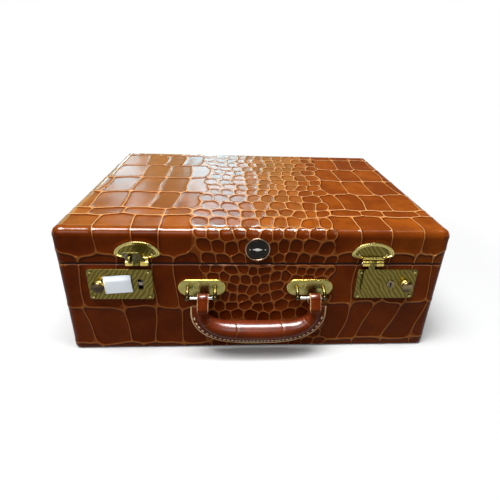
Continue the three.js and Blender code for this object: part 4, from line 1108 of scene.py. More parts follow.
def hide_shell(lid, rings):
    """A hide turned in over a rim. Rings are (inset, depth from the closed face, 1 on the outside)."""
    bm = hide_sheet(lid)
    closed, way = (LID_HIGH.z, -1) if lid else (CASE_LOW.z, 1)
    centre_layer = bm.verts.layers.float_vector.new("corner_centre")
    out_layer = bm.verts.layers.float_vector.new("way_out")
    kind = bm.verts.layers.int.new("skin")
    for vert in bm.verts:
        x, y = vert.co.x, vert.co.y
        centre, out = outline_point(x, y)
        vert[centre_layer] = (centre.x, centre.y, 0)
        vert[out_layer] = (out.x, out.y, 0)
        vert[kind] = 1
        reach = max(abs(x - centre.x), abs(y - centre.y))
        depth = 0.0
        if lid and reach > 0:
            # Over the top of the rounding, depth and inset change places
            depth, inset = on_arc(CORNER - reach)
            reach = CORNER - inset
        if reach > 0:
            vert.co = (centre.x + out.x * reach, centre.y + out.y * reach, 0)
        vert.co.z = closed + way * depth
    edges = [edge for edge in bm.edges if edge.is_boundary]
    for inset, depth, skin in rings:
        fresh, edges = grown(bm, edges)
        for vert in fresh:
            centre, out = vert[centre_layer], vert[out_layer]
            vert.co = (
                centre.x + out.x * (CORNER - inset), centre.y + out.y * (CORNER - inset),
                closed + way * depth)
            vert[kind] = skin
    bmesh.ops.edgeloop_fill(bm, edges=edges)
    if not lid:
        cut_staple_windows(bm)
    bmesh.ops.recalc_face_normals(bm, faces=bm.faces)
    body = "lid" if lid else "base"
    piece = finished(bm, f"{body}_hide", body, "hide", [hide_finish()], [f"{body}_covering"], 55.0)
    mesh = piece.data
    skin = np.empty(len(mesh.vertices), np.int32)
    mesh.attributes["skin"].data.foreach_get("value", skin)
    for layer in ("corner_centre", "way_out", "skin"):
        mesh.attributes.remove(mesh.attributes[layer])
    outer = np.nonzero(skin)[0]
    found = places_of(mesh)[outer] / MM
    heart = np.clip(found, (-FLAT_X, -FLAT_Y, -FAR), (FLAT_X, FLAT_Y, LID_ROUND_FOOT if lid else FAR))
    outward = found - heart
    outward /= np.maximum(np.linalg.norm(outward, axis=1), 1e-9)[:, None]
    if not lid:
        outward *= smoothed((found[:, 2] - 1) / 4)[:, None]
    embossed(piece, outer, outward, lid)


SCALES = Scales()


class VANITY_OT_hide(Operator):
    """Lays the embossed hide over the lid and the base"""

    bl_idname = "vanity.hide"
    bl_label = "Embossed Hide"

    def execute(self, context):
        for lid in (True, False):
            height = LID_HIGH.z - LID_LOW.z if lid else CASE_HIGH.z
            walls = self.lid_walls(height) if lid else self.base_walls(height)
            hide_shell(lid, walls + self.turned_in(height, lid))
        return {"FINISHED"}

    def lid_walls(self, height):
        """Rings round the lid, from its flat top down its rounding to its rim."""
        steps = round(height / sizes().mesh_pitch * MM)
        rings = []
        for i in range(1, steps):
            level = i * height / steps
            inset, depth = on_arc(level) if level < CORNER else (0, level)
            rings.append((inset, depth, 1))
        return rings + [(0, height - 1.0, 1), (0.3, height - 0.3, 1)]

    def base_walls(self, height):
        """Rings round the base, from its flat underside up to its rim."""
        rings = []
        for i in range(1, 5):
            angle = QUARTER * i / 4
            rings.append((BASE_EDGE * (1 - math.sin(angle)), BASE_EDGE * (1 - math.cos(angle)), 1))
        steps = round((height - BASE_EDGE) / sizes().mesh_pitch * MM)
        for i in range(1, steps):
            rings.append((0, BASE_EDGE + i * (height - BASE_EDGE) / steps, 1))
        return rings + [(0, height - 0.9, 1), (0.28, height - 0.28, 1)]

    def turned_in(self, height, lid):
        """Rings over the rim, under its turned edge and along the inner face."""
        thick = HIDE_THICKNESS
        rings = [(0.9, height), (RIM_WIDTH, height), (RIM_WIDTH, height - thick), (thick, height - thick)]
        if lid:
            rings += [(thick, CORNER), (3.8, 3.8), (CORNER - 0.05, thick)]
        else:
            rings += [(thick, BASE_EDGE), (BASE_EDGE, thick)]
        return [(inset, depth, 0) for inset, depth in rings]


class VANITY_OT_inside(Operator):
    """Dresses the boards, the lining, the mirror and its frame"""

    bl_idname = "vanity.inside"
    bl_label = "Inside"

    def execute(self, context):
        for name in ("base_board", "lid_board"):
            refined(name, [board_finish()], 0)
        for name in ("base_lining", "lid_lining"):
            refined(name, [cloth_finish()], 0.4)
        refined("mirror_frame", [cloth_finish()], 0.5)
        refined("lid_mirror", [mirror_finish()], 0.25)
        return {"FINISHED"}


class VANITY_OT_hinges(Operator):
    """Dresses the lid hinges"""

    bl_idname = "vanity.hinges"
    bl_label = "Lid Hinges"

    def execute(self, context):
        for side, _ in SIDES:
            refined(f"{side}_hinge_base_leaf", [metal("Aged brass")], 0.2)
            refined(f"{side}_hinge_lid_leaf", [metal("Aged brass")], 0.2)
            refined(f"{side}_hinge_pin", [metal("Pale steel")], 0.2)
        return {"FINISHED"}


def rivet_head(name):
    """A domed rivet in place of the node, on the same axis and as deep."""
    radius, shank, foot, rise = 1.7, 1.0, 0.12, 0.98
    low, high = box_of(name)
    centre = (low + high) / 2
    level = low.y + foot + rise
    deep = high.y - level
    profile = [(0, -deep), (shank, -deep), (shank, 0), (radius, 0), (radius, foot)]
    head = spun(profile + dome(radius, foot, rise, 6), facing_front(centre.x, level, centre.z), 20)
    piece = dressed(head, name, [metal("Dark bronze"), metal("Rim brass")])
    # Painted highlight: the crown of the dome takes the brighter rim brass
    tinted(piece, 1, lambda face: face.center.y < (low.y + 0.3) * MM)


class VANITY_OT_locks(Operator):
    """Dresses the lock plates and makes their knobs, key plugs and rivets"""

    bl_idname = "vanity.locks"
    bl_label = "Locks"

    def execute(self, context):
        for side, sign in SIDES:
            refined(f"{side}_lock_plate", [turned_brass(), metal("Rubbed brass")], 0.45, 25.0)
            refined(f"{side}_lock_case", [metal("Dark steel")], 0.15)
            refined(f"{side}_slide_bolt", [metal("Dark steel")], 0.1)
            self.spring(side, sign)
            for i in range(1, 5):
                rivet_head(f"{side}_lock_rivet_{i}")
            self.knob(side, sign)
            self.plug(side, sign)
        return {"FINISHED"}

    def spring(self, side, sign):
        """Bolt spring: a dressed copy of the frame's spring, against the post at its outer end, with a mesh
        of its own.
        """
        name = f"{side}_bolt_spring"
        piece = refined(name, [metal("Pale steel")], 0, 80.0)
        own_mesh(piece)

    def knob(self, side, sign):
        """Turned knob: a flared collar, a waist and a mushroom head whose dome has painted light and shade.
        """
        foot, waist, head = 1.9, 4.8, 6.2
        profile = [(0, -2.9), (2, -2.9), (2, foot), (4.9, foot), (4.95, foot + 0.5), (4.4, foot + 1.3)]
        profile += [(waist + 0.2, foot + 1.8), (waist, foot + 2.3), (waist + 0.1, foot + 3.0)]
        profile += [(waist + 0.4, foot + 3.7), (head - 0.6, foot + 4.5), (head - 0.2, foot + 5.1)]
        profile += [(head, foot + 5.6)] + dome(head - 0.1, foot + 5.7, 2.5, 8)
        place = facing_front(sign * (LOCK_X + KNOB_OUT), FRONT, LOCK_Z)
        materials = [knob_dome(), metal("Neck brass")]
        piece = dressed(spun(profile, place), f"{side}_slide_knob", materials, 60)
        tinted(piece, 1, lambda face: face.center.y > (FRONT - foot - 5.65) * MM)

    def plug(self, side, sign):
        """Key plug with a dished face, and a near-black patch that stands in for the shade in its key slot.
        """
        name = f"{side}_key_plug"
        across = sign * (LOCK_X + PLUG_OUT)
        low, high = box_of(name)
        rise, deep = FRONT - low.y, high.y - FRONT
        profile = [(0, -deep), (4, -deep), (4, rise - 0.9), (4.7, rise - 0.85), (4.72, rise - 0.4)]
        profile += [(4.5, rise - 0.1), (4.1, rise), (3.7, rise - 0.05), (3.4, rise - 0.35), (0, rise - 0.45)]
        plug = spun(profile, facing_front(across, FRONT, LOCK_Z), 36)
        dressed(plug, name, [metal("Worn nickel")], 50)
        # Painted shade: a thin near-black patch in the shape of the key slot, proud of the dish, instead of a
        # cut hole
        slot = bmesh.new()
        bmesh.ops.create_circle(slot, cap_ends=True, segments=20, radius=1.15)
        bmesh.ops.translate(slot, vec=(0, 0.9, 0), verts=slot.verts)
        for vert in slot.verts:
            if vert.co.y < 0.6:
                vert.co.x *= 0.62
                vert.co.y -= 2.1
        raised(slot, slot.faces, 0.25)
        bmesh.ops.recalc_face_normals(slot, faces=slot.faces)
        place = facing_front(across, low.y + 0.5, LOCK_Z)
        bmesh.ops.transform(slot, matrix=place, verts=slot.verts)
        finished(slot, f"{side}_key_slot", body_of(name), slot_of(name), [enamel_finish()])


def lens_ring(width, rise, drop, level, steps=72):
    """Points round a lens outline that is flatter below its widest line than above it."""
    turns = (2 * math.pi * i / steps for i in range(steps))
    return [
        Vector((width / 2 * math.cos(turn), (rise if turn < math.pi else drop) * math.sin(turn), level))
        for turn in turns]


def lens_plate(bm, thickness, rim, sunk):
    """A lens-shaped plate with a raised rounded rim round its dished face, drawn flat."""
    ease = 0.7
    rings = [(0.3, 0), (0, 0.3), (0, thickness - ease)]
    for i in range(1, 5):
        angle = QUARTER * i / 4
        rings.append((ease * (1 - math.cos(angle)), thickness - ease * (1 - math.sin(angle))))
    rings += [(rim - 1.1, thickness), (rim - 0.6, thickness - 0.15), (rim - 0.15, thickness - sunk * 0.75)]
    rings += [(rim + 0.15, thickness - sunk), (rim + 1.5, thickness - sunk - 0.05)]
    share = 0.2 + HASP_DROP / HASP_RISE
    lofted(bm, [
        lens_ring(HASP_WIDTH - 2 * inset, HASP_RISE - inset, HASP_DROP - inset * share, level)
        for inset, level in rings])
    bmesh.ops.translate(bm, vec=(0, HASP_WIDEST, 0), verts=bm.verts)


class VANITY_OT_hasps(Operator):
    """Makes the dished hasp plates and dresses the hasps that swing on them"""

    bl_idname = "vanity.hasps"
    bl_label = "Hasps"

    def execute(self, context):
        for side, sign in SIDES:
            self.plate(side, sign)
            refined(f"{side}_hasp", [turned_brass(), metal("Bright brass")], 0.3)
            refined(f"{side}_hasp_staple", [metal("Aged brass")], 0.2)
            refined(f"{side}_hasp_pin", [metal("Pale steel")], 0.15)
            refined(f"{side}_hasp_spring", [metal("Pale steel")], 0, 80.0)
            for i in (1, 2):
                rivet_head(f"{side}_hasp_rivet_{i}")
        return {"FINISHED"}

    def plate(self, side, sign):
        """Plate with the rolled ridge that bears the hasp and the two ears round its pin."""
        half, gap = 11.2, 3.5
        bm = bmesh.new()
        lens_plate(bm, 2.2, 2.1, 0.9)
        bar = [(0, -half), (1.3, -half), (1.6, -half + 0.3), (1.6, half - 0.3), (1.3, half), (0, half)]
        spun(bar, along_x(5.3, 3.7), 24, bm)
        block(bm, (2 * half, 2.6, 3.7), (0, 5.3, 1.85))
        wide = half - gap
        for start in (-half, gap):
            ear = [(1.3, start), (3.0, start), (3.2, start + 0.2), (3.2, start + wide - 0.2)]
            ear += [(3.0, start + wide), (1.3, start + wide), (1.3, start)]
            spun(ear, along_x(0, 4.2), 32, bm)
            block(bm, (wide, 8.0, 2.0), (start + wide / 2, 0.9, 1.1))
        bmesh.ops.transform(bm, matrix=facing_front(sign * HASP_X, FRONT, HASP_Z), verts=bm.verts)
        materials = [metal("Bright brass"), turned_brass(), metal("Rim brass")]
        piece = dressed(bm, f"{side}_hasp_plate", materials, 32)
        tinted(piece, 2, lambda face: face.center.z > (HASP_Z + 6.6) * MM)
        tinted(piece, 1, lambda face: abs(face.normal.y) > 0.98 and face.area > 40 * MM ** 2)


class VANITY_OT_badge(Operator):
    """Makes the badge: a ring round a domed enamel disc with a plain ornament"""

    bl_idname = "vanity.badge"
    bl_label = "Badge"

    def execute(self, context):
        place = facing_front(0, FRONT, BADGE_Z)
        outer, inner = BADGE_RADIUS, BADGE_RADIUS - 1.6
        ring = [(inner, 0), (outer, 0), (outer, 0.9), (12.7, 1.5), (12.2, 1.8), (11.8, 1.6), (inner, 0.9)]
        disc = [(0, 0), (11.2, 0), (11.2, 0.75), (10.8, 0.9), (7, 1.08), (3.5, 1.17), (0, 1.2)]
        line = [(9.6, 0.9), (9.75, 1.12), (9.95, 1.12), (10.1, 0.9), (9.6, 0.9)]
        dressed(spun(ring + ring[:1], place, 96), "badge_ring", [metal("Worn gilt")], 60)
        dressed(spun(disc, place, 96), "badge_disc", [enamel_finish()], 60)
        finished(spun(line, place, 96), "badge_line", "lid", "steel", [metal("Dark bronze")], (), 60)
        bm = bmesh.new()
        for x, wide, tall in ((0, 6.2, 2.2), (-7.8, 0.9, 0.9), (7.8, 0.9, 0.9)):
            verts = bmesh.ops.create_circle(bm, cap_ends=True, segments=4, radius=1)["verts"]
            face = verts[0].link_faces[0]
            bmesh.ops.scale(bm, vec=(wide, tall, 1), verts=verts)
            bmesh.ops.translate(bm, vec=(x, 0, 0.95), verts=verts)
            for vert in raised(bm, [face], 0.35):
                vert.co.x = x + (vert.co.x - x) * 0.8
                vert.co.y *= 0.8
        bmesh.ops.recalc_face_normals(bm, faces=bm.faces)
        bmesh.ops.transform(bm, matrix=place, verts=bm.verts)
        finished(bm, "badge_ornament", "lid", "steel", [metal("Pale steel")])
        return {"FINISHED"}


class VANITY_OT_mounts(Operator):
    """Makes the handle mounts, with lugs and ball ends, and dresses their pins"""

    bl_idname = "vanity.mounts"
    bl_label = "Handle Mounts"

    def execute(self, context):
        for side, sign in SIDES:
            self.mount(side, sign)
            refined(f"{side}_handle_pin", [metal("Pale steel")], 0.15)
        return {"FINISHED"}

    def mount(self, side, sign):
        """A round-ended plate with two lugs that reach out and down to the pin."""
        thickness, reach = 2, 13
        drop = PIN_Z - MOUNT_Z
        bm = bmesh.new()
        bmesh.ops.create_circle(bm, cap_ends=True, segments=56, radius=MOUNT_RADIUS)
        for vert in bm.verts:
            vert.co.x += math.copysign(MOUNT_HALF, vert.co.x) if abs(vert.co.x) > 0.01 else 0
        raised(bm, bm.faces, thickness)
        bmesh.ops.recalc_face_normals(bm, faces=bm.faces)
        top = max(bm.faces, key=lambda face: face.calc_center_median().z)
        bevelled(bm, top.edges, 1.2, 5)
        for x in (-14.3, 14.3):
            lofted(bm, self.lug(x, drop, reach))
            ball = bmesh.ops.create_uvsphere(bm, u_segments=24, v_segments=16, radius=3.2)["verts"]
            bmesh.ops.translate(bm, vec=(x, drop, reach), verts=ball)
            tail = bmesh.ops.create_cone(
                bm, cap_ends=True, segments=20, radius1=1.8, radius2=1.8, depth=6)["verts"]
            bmesh.ops.translate(bm, vec=(x, 0, -2.2), verts=tail)
        bmesh.ops.recalc_face_normals(bm, faces=bm.faces)
        bmesh.ops.transform(bm, matrix=facing_front(sign * MOUNT_X, FRONT, MOUNT_Z), verts=bm.verts)
        materials = [metal("Bright brass"), metal("Rubbed brass"), metal("Dark bronze")]
        piece = dressed(bm, f"{side}_handle_mount", materials, 40)
        face_level = (FRONT - thickness - 0.1) * MM
        tinted(piece, 1, lambda face: face.normal.y < -0.97 and face.center.y > face_level)
        tinted(piece, 2, lambda face: face.center.y < (FRONT - 10.4) * MM)

    def lug(self, x, drop, reach, steps=12, around=20):
        """Rings of a bent arm, thinnest in its middle, from the plate to the ball on the pin's line."""
        start = 1.4
        sideways = Vector((1, 0, 0))
        rings = []
        for i in range(steps + 1):
            share = i / steps
            y = start * (1 - share ** 2) + drop * share ** 2
            z = 1 + (reach - 1) * (1 - (1 - share) ** 2)
            slope = Vector((0, 2 * share * (drop - start), 2 * (reach - 1) * (1 - share) + 0.001))
            over = slope.normalized().cross(sideways)
            radius = 2.3 - 0.5 * math.sin(math.pi * share)
            turns = (2 * math.pi * j / around for j in range(around))
            rings.append([
                Vector((x, y, z)) + sideways * radius * math.cos(turn) + over * radius * math.sin(turn)
                for turn in turns])
        return rings


# The grip's middle line, as shares of its half span and its drop, with its girth
GRIP_ACROSS = (0, 0.34, 0.64, 0.84, 0.955, 1, 1.005)
GRIP_DOWN = (1, 0.985, 0.925, 0.78, 0.575, 0.36, 0)
GRIP_GIRTH = (1, 0.99, 0.9, 0.78, 0.68, 0.6, 0.56)
GRIP_HALF_SPAN = 58.6
GRIP_TOP, GRIP_DROP = 9.5, 42.3
GRIP_RADIUS = 10.6
WELT_HEIGHT, WELT_HALF = 7.0, 1.6


def smooth_line(points, steps):
    """Points evenly numbered along a smooth line through the given ones."""
    points = np.array(points, float)
    ends = np.vstack([2 * points[0] - points[1], points, 2 * points[-1] - points[-2]])
    line = []
    spans = len(points) - 1
    for i in range(steps + 1):
        place = min(i / steps * spans, spans - 1e-9)
        k = int(place)
        t = place - k
        a, b, c, d = ends[k:k + 4]
        line.append(0.5 * (
            2 * b + (c - a) * t + (2 * a - 5 * b + 4 * c - d) * t ** 2 + (3 * b - a - 3 * c + d) * t ** 3))
    return np.array(line)


def grip_line(steps):
    """Rows of x, z and radius along the grip's middle line, evenly spaced, and its length."""
    half = [
        (share * GRIP_HALF_SPAN, -(GRIP_TOP + (GRIP_DROP - GRIP_TOP) * down), girth * GRIP_RADIUS)
        for share, down, girth in zip(GRIP_ACROSS, GRIP_DOWN, GRIP_GIRTH)]
    stations = [(-x, z, radius) for x, z, radius in reversed(half[1:])] + half
    fine = smooth_line(stations, 400)
    lengths = np.concatenate([[0], np.cumsum(np.hypot(*np.diff(fine[:, :2], axis=0).T))])
    even = np.linspace(0, lengths[-1], steps + 1)
    return np.stack([np.interp(even, lengths, fine[:, k]) for k in range(3)], axis=1), lengths[-1]


def grip_frames(line):
    """Centre, way outward from the bend and radius at each station."""
    along = np.gradient(line[:, :2], axis=0)
    along /= np.linalg.norm(along, axis=1)[:, None]
    for (x, z, radius), (ax, az) in zip(line, along):
        centre = Vector((HANDLE_X + x, PIN_Y, PIN_Z + z))
        yield centre, Vector((az, 0, -ax)), radius


class VANITY_OT_handle(Operator):
    """Makes the padded grip with its stitched welt and the two strap loops"""

    bl_idname = "vanity.handle"
    bl_label = "Padded Handle"

    def execute(self, context):
        self.grip()
        refined("handle_core", [board_finish()], 0, 60.0)
        self.stitches()
        for side, sign in SIDES:
            self.strap(side, sign)
        return {"FINISHED"}

    def section(self, radius, turns=40):
        """Points round the grip: a full round body, then the flat welt that it pinches into."""
        fillet = 1.6
        start = math.asin((WELT_HALF + fillet) / (radius + fillet))
        angles = (start + (2 * math.pi - 2 * start) * i / turns for i in range(turns + 1))
        body = [(radius * math.cos(angle), radius * math.sin(angle)) for angle in angles]
        foot, edge = radius + 0.9, radius + WELT_HEIGHT
        upper = [(foot, WELT_HALF), (edge - 1.5, WELT_HALF), (edge - 0.6, WELT_HALF - 0.12)]
        upper += [(edge, WELT_HALF - 0.5)]
        return body + [(a, -b) for a, b in upper] + upper[::-1]

    def grip(self):
        steps = 150
        line, length = grip_line(steps)
        rings, marks = [], []
        for i, (centre, out, radius) in enumerate(grip_frames(line)):
            along = (i / steps - 0.5) * length
            ring = []
            for a, b in self.section(radius):
                far = math.hypot(a, b)
                sink, mark = self.crease(along, math.atan2(b, a), far < radius + 0.5)
                scale = 1 - sink / max(far, 1)
                ring.append(centre + out * a * scale + Vector((0, -1, 0)) * b * scale)
                marks.append(mark)
            rings.append(ring)
        around = len(rings[0])
        bm = bmesh.new()
        layers = [bm.verts.layers.float.new(name) for name in ("ridge", "valley")]
        lofted(bm, rings)
        place = bm.verts.layers.int["place"]
        for index, vert in enumerate(bm.verts):
            for layer in layers:
                vert[layer] = marks[index // around * around + vert[place]]
        for face in bm.faces:
            if all(around - 7 <= vert[place] < around - 1 for vert in face.verts):
                face.material_index = 1
        bmesh.ops.recalc_face_normals(bm, faces=bm.faces)
        materials = [strap_finish(), edge_finish()]
        piece = finished(bm, "grip_hide", "handle", "hide", materials, ["handle_cover"], 50)
        polished(piece)
        return piece

    def crease(self, along, angle, on_body):
        """Depth and colour of the scale lines that cross the grip."""
        if not on_body:
            return 0.0, 0.0
        away = []
        for middle, slant in ((-24.0, 0.6), (24.5, 3.2), (58.0, -1.0), (-60.0, 1.4)):
            line = middle + slant * math.sin(angle) + 0.8 * math.sin(3 * angle + middle)
            away.append(abs(along - line))
        if -60 < along < -24:
            away.append(abs(angle - (0.95 + 0.1 * math.sin(along / 6))) * GRIP_RADIUS)
        share = max(0.0, 1 - min(away) / 1.5)
        share = share * share * (3 - 2 * share)
        return 0.55 * share, share

    def stitches(self):
        """Two rows of stitches, one on each face of the welt."""
        steps = 400
        line, length = grip_line(steps)
        frames = list(grip_frames(line))
        pitch, long = sizes().stitch_pitch / MM, sizes().stitch_length / MM
        bm = bmesh.new()
        reach = length * 0.5 - 12
        count = int(2 * reach * 1.22 / pitch)
        for face in (-1, 1):
            side = Vector((0, face, 0))
            for k in range(count):
                share = (k + 0.5) / count
                place = int(round((0.5 + (share - 0.5) * 2 * reach / length) * steps))
                centre, out, radius = frames[place]
                ahead, behind = frames[min(place + 3, steps)], frames[max(place - 3, 0)]
                offset = radius + WELT_HEIGHT * 0.52
                way = (ahead[0] + ahead[1] * offset) - (behind[0] + behind[1] * offset)
                way.normalize()
                stitch = bmesh.ops.create_uvsphere(bm, u_segments=8, v_segments=6, radius=1)["verts"]
                bmesh.ops.scale(bm, vec=(long / 2, 0.5, 0.75), verts=stitch)
                turn = Matrix((way, side, way.cross(side))).transposed().to_4x4()
                spot = centre + out * offset + side * (WELT_HALF + 0.08)
                bmesh.ops.transform(bm, matrix=Matrix.Translation(spot) @ turn, verts=stitch)
        bmesh.ops.recalc_face_normals(bm, faces=bm.faces)
        finished(bm, "grip_stitches", "handle", "hide", [thread_finish()], (), 80)

    def strap(self, side, sign):
        """Leather loop over the pin, its rounded tongues lying on both faces of the grip."""
        # Half of its thickness and half of its width
        half, half_wide = 1.3, 5.7
        shift = Vector((HANDLE_X + sign * GRIP_HALF_SPAN, PIN_Y, PIN_Z))
        path = self.strap_path(half)
        places = [Vector((0, -y, z)) for y, z, _ in path]
        rings = []
        for i, (y, z, wide) in enumerate(path):
            before, after = places[max(i - 1, 0)], places[min(i + 1, len(path) - 1)]
            along = (after - before).normalized()
            out = Vector((0, -along.z, along.y))
            reach = half_wide * wide
            ease = min(0.5, reach * 0.4)
            corners = [
                (half, -reach + ease), (half, reach - ease), (half - ease, reach), (-half + ease, reach)]
            corners += [(-a, -b) for a, b in corners]
            rings.append([places[i] + shift + out * a + Vector((b, 0, 0)) for a, b in corners])
        bm = lofted(bmesh.new(), rings)
        bmesh.ops.recalc_face_normals(bm, faces=bm.faces)
        piece = dressed(bm, f"{side}_handle_strap", [strap_finish(), edge_finish()], 50)
        tinted(piece, 1, lambda face: abs(face.normal.x) > 0.45 or face.normal.z < -0.6)
        polished(piece)

    def strap_path(self, half):
        """Places outward and upward of the pin along a strap, with its share of the full width."""
        pin_gap, grip_gap = 0.4, 0.3
        loop = PIN_RADIUS + pin_gap + half
        tongue = GRIP_GIRTH[-2] * GRIP_RADIUS + grip_gap + half
        top = -GRIP_TOP + half
        path = []
        for i in range(9):
            angle = QUARTER * (0.12 + 0.88 * i / 8)
            path.append((tongue, -14.6 + 4.6 * (1 - math.cos(angle)), math.sin(angle)))
        path += [(tongue, top - 1.0, 1), (tongue - 0.25, top, 1)]
        for i in range(13):
            angle = QUARTER * i / 12
            path.append((loop * math.cos(angle), loop * math.sin(angle), 1))
        return path + [(-y, z, wide) for y, z, wide in reversed(path[:-1])]


class VANITY_OT_label(Operator):
    """Sticks the blank paper label on the left lock plate"""

    bl_idname = "vanity.label"
    bl_label = "Paper Label"

    def execute(self, context):
        """Draws the label flat, lifted over the key plug and curled up at one corner."""
        half_wide, half_tall, thickness = 14.0, 9.75, 0.12
        across, level, tilt = -142.9, 88.0, 4.5
        plate_face, plug_face = 1.95, 3.6
        bm = bmesh.new()
        bmesh.ops.create_grid(bm, x_segments=24, y_segments=16, size=0.5)
        bmesh.ops.scale(bm, vec=(2 * half_wide, 2 * half_tall, 1), verts=bm.verts)
        for vert in bm.verts:
            x, y = vert.co.x, vert.co.y
            curl = 0.7 * max(0, x / half_wide + y / half_tall - 1.2) ** 2
            lifted = (plug_face - plate_face) * smoothed((half_tall - y) / 6.2) + 0.05 * max(0, 3.5 - y)
            vert.co.z = plate_face + lifted + curl
        bmesh.ops.solidify(bm, geom=bm.faces[:] + bm.edges[:] + bm.verts[:], thickness=thickness)
        bmesh.ops.recalc_face_normals(bm, faces=bm.faces)
        place = facing_front(across, FRONT, level) @ Matrix.Rotation(math.radians(tilt), 4, "Z")
        bmesh.ops.transform(bm, matrix=place, verts=bm.verts)
        finished(bm, "paper_label", "base", "paper", [paper_finish()])
        return {"FINISHED"}


# Area lamps: place, what it points at, size, power in watts and colour
WHITE, VEIL, SKY = (1, 1, 1), (0.95, 1.0, 0.35), (0.4, 0.8, 1.0)
LAMPS = {
    "key": ((-0.42, -0.5, 1.7), (0, 0, 0.1), (0.85, 0.6), 36, WHITE),
    "edge_strip": ((0.0, -0.25, 1.45), (0.0, -0.15, 0.15), (1.7, 0.12), 3, WHITE),
    "left_window": ((-0.1, -0.25, 1.44), (-0.05, -0.15, 0.1), (0.22, 0.34), 8, WHITE),
    "right_window": ((0.2, -0.25, 1.44), (0.05, -0.15, 0.1), (0.24, 0.34), 8, WHITE),
    "front_fill": ((-0.5, -1.9, 1.1), (0, 0, 0.1), (1.2, 0.8), 8, WHITE),
    "veil": ((-0.5, 2.05, 0.9), (0, 0, 0.15), (2.0, 0.6), 5.4, VEIL),
    "left_glare": ((-0.76, 2.0, 0.787), (0, 0, 0.15), (0.2, 0.175), 1.9, SKY),
    "middle_glare": ((-0.14, 2.0, 0.84), (0, 0, 0.15), (0.36, 0.44), 6.2, SKY),
}


def shows_ground(nodes):
    """1 for rays that show the background: to the camera, off a gloss or through glass."""
    path = nodes.tree.nodes.new("ShaderNodeLightPath").outputs
    glossy = nodes.math("MAXIMUM", path["Is Camera Ray"], path["Is Glossy Ray"])
    return nodes.math("MAXIMUM", glossy, path["Is Transmission Ray"])


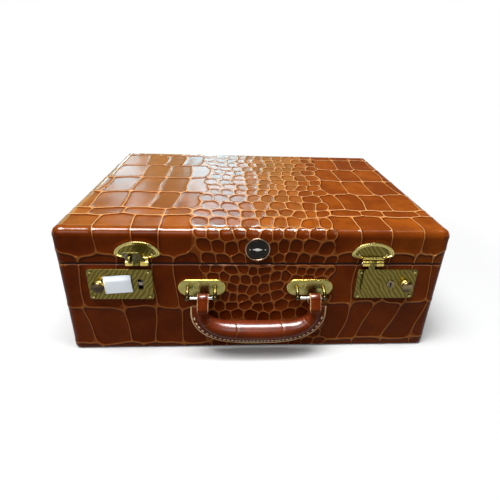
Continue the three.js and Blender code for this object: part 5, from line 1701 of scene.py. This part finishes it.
class VANITY_OT_stage(Operator):
    """Sets the floor, the lamps, the surroundings and the camera"""

    bl_idname = "vanity.stage"
    bl_label = "Stage"

    def execute(self, context):
        self.floor(context.scene)
        self.surroundings(context.scene)
        for name, (place, target, size, power, colour) in LAMPS.items():
            self.lamp(context.scene, name, place, target, size, power, colour)
        self.camera(context.scene)
        context.scene.view_settings.view_transform = "Standard"
        return {"FINISHED"}

    def floor(self, scene):
        """A floor that is dark far off and glows white where the camera sees it."""
        bm = bmesh.new()
        bmesh.ops.create_grid(bm, x_segments=1, y_segments=1, size=12)
        mesh = bpy.data.meshes.new("floor")
        bm.to_mesh(mesh)
        bm.free()
        floor = bpy.data.objects.new("floor", mesh)
        scene.collection.objects.link(floor)
        look = Look("Floor", Roughness=0.9, Specular_IOR_Level=0.0, Emission_Color=WHITE)
        far = look.node("ShaderNodeVectorMath", {"Vector": look.place()}, "Value", operation="LENGTH")
        away = look.spread(far, 0.27, 0.55)
        seen = shows_ground(look)
        near = look.mixed(seen, (0.2, 0.2, 0.2), (0.5, 0.5, 0.5))
        look.paint(away, near, (0.02, 0.02, 0.02))
        look.set("Emission Strength", look.times(seen, look.spread(away, 0.0, 1.0, 0.06, 1.0)))
        mesh.materials.append(look.material)

    def surroundings(self, scene):
        """A dim sky, white to the camera and, near the horizon, in reflections."""
        world = bpy.data.worlds.new("Surroundings")
        scene.world = world
        world.use_nodes = True
        nodes = Nodes(world.node_tree)
        back = nodes.tree.nodes["Background"].inputs
        way = nodes.node("ShaderNodeTexCoord", {}, "Generated")
        height = nodes.node("ShaderNodeSeparateXYZ", {"Vector": way}, "Z")
        low = nodes.times(shows_ground(nodes), nodes.spread(height, 0.05, 0.12, 1.0, 0.0))
        white = nodes.math("MAXIMUM", nodes.node("ShaderNodeLightPath", {}, "Is Camera Ray"), low)
        nodes.fill(back["Color"], WHITE)
        nodes.fill(back["Strength"], nodes.spread(white, 0.0, 1.0, 0.06, 1.0))

    def lamp(self, scene, name, place, target, size, power, colour):
        light = bpy.data.lights.new(name, "AREA")
        light.shape = "RECTANGLE"
        light.size, light.size_y = size
        light.energy = power
        light.color = colour
        lamp = bpy.data.objects.new(name, light)
        lamp.location = place
        lamp.rotation_mode = "QUATERNION"
        lamp.rotation_quaternion = (Vector(target) - Vector(place)).to_track_quat("-Z", "Y")
        lamp.visible_camera = False
        scene.collection.objects.link(lamp)

    def camera(self, scene):
        """The camera that was fitted to the outline of the case in the photo, in its pixels."""
        picture, focus, centre = 500, 376.37, (260.91, 230.39)
        yaw, pitch, roll = (math.radians(angle) for angle in (4.427, 25.462, 2.384))
        place = Vector((-23.57, -486.37, 310.24)) * MM
        lens = bpy.data.cameras.new("camera")
        lens.sensor_width = 36.0
        lens.lens = lens.sensor_width * focus / picture
        lens.shift_x = (picture / 2 - centre[0]) / picture
        lens.shift_y = (centre[1] - picture / 2) / picture
        camera = bpy.data.objects.new("camera", lens)
        forward = Vector((math.sin(yaw) * math.cos(pitch), math.cos(yaw) * math.cos(pitch), -math.sin(pitch)))
        level = Vector((math.cos(yaw), -math.sin(yaw), 0))
        upright = level.cross(forward)
        right = level * math.cos(roll) + upright * math.sin(roll)
        up = upright * math.cos(roll) - level * math.sin(roll)
        turn = Matrix((right, up, -forward)).transposed().to_4x4()
        camera.matrix_world = Matrix.Translation(place) @ turn
        scene.collection.objects.link(camera)
        scene.camera = camera


OPERATORS = (
    VANITY_OT_stage, VANITY_OT_hide, VANITY_OT_inside, VANITY_OT_hinges, VANITY_OT_locks,
    VANITY_OT_hasps, VANITY_OT_badge, VANITY_OT_mounts, VANITY_OT_handle, VANITY_OT_label,
)


class VANITY_PT_panel(Panel):
    """Lists the pieces of the case"""

    bl_idname = "VANITY_PT_panel"
    bl_label = "Vanity Case"
    bl_space_type = "VIEW_3D"
    bl_region_type = "UI"
    bl_category = "Vanity Case"

    def draw(self, context):
        layout = self.layout
        for operator in OPERATORS:
            layout.operator(operator.bl_idname)
        for group_of in (sizes(), colours()):
            for name in group_of.bl_rna.properties.keys():
                if name not in {"rna_type", "name"}:
                    layout.prop(group_of, name)


CLASSES = (CaseSizes, CaseColours, *OPERATORS, VANITY_PT_panel)


def register():
    for kind in CLASSES:
        bpy.utils.register_class(kind)
    bpy.types.Scene.vanity_case_sizes = PointerProperty(type=CaseSizes)
    bpy.types.Scene.vanity_case_colours = PointerProperty(type=CaseColours)


def unregister():
    del bpy.types.Scene.vanity_case_colours
    del bpy.types.Scene.vanity_case_sizes
    for kind in reversed(CLASSES):
        bpy.utils.unregister_class(kind)


def main():
    register()
    bpy.ops.vanity.stage()
    bpy.ops.vanity.hide()
    bpy.ops.vanity.inside()
    bpy.ops.vanity.hinges()
    bpy.ops.vanity.locks()
    bpy.ops.vanity.hasps()
    bpy.ops.vanity.badge()
    bpy.ops.vanity.mounts()
    bpy.ops.vanity.handle()
    bpy.ops.vanity.label()


if __name__ == "__main__":
    main()
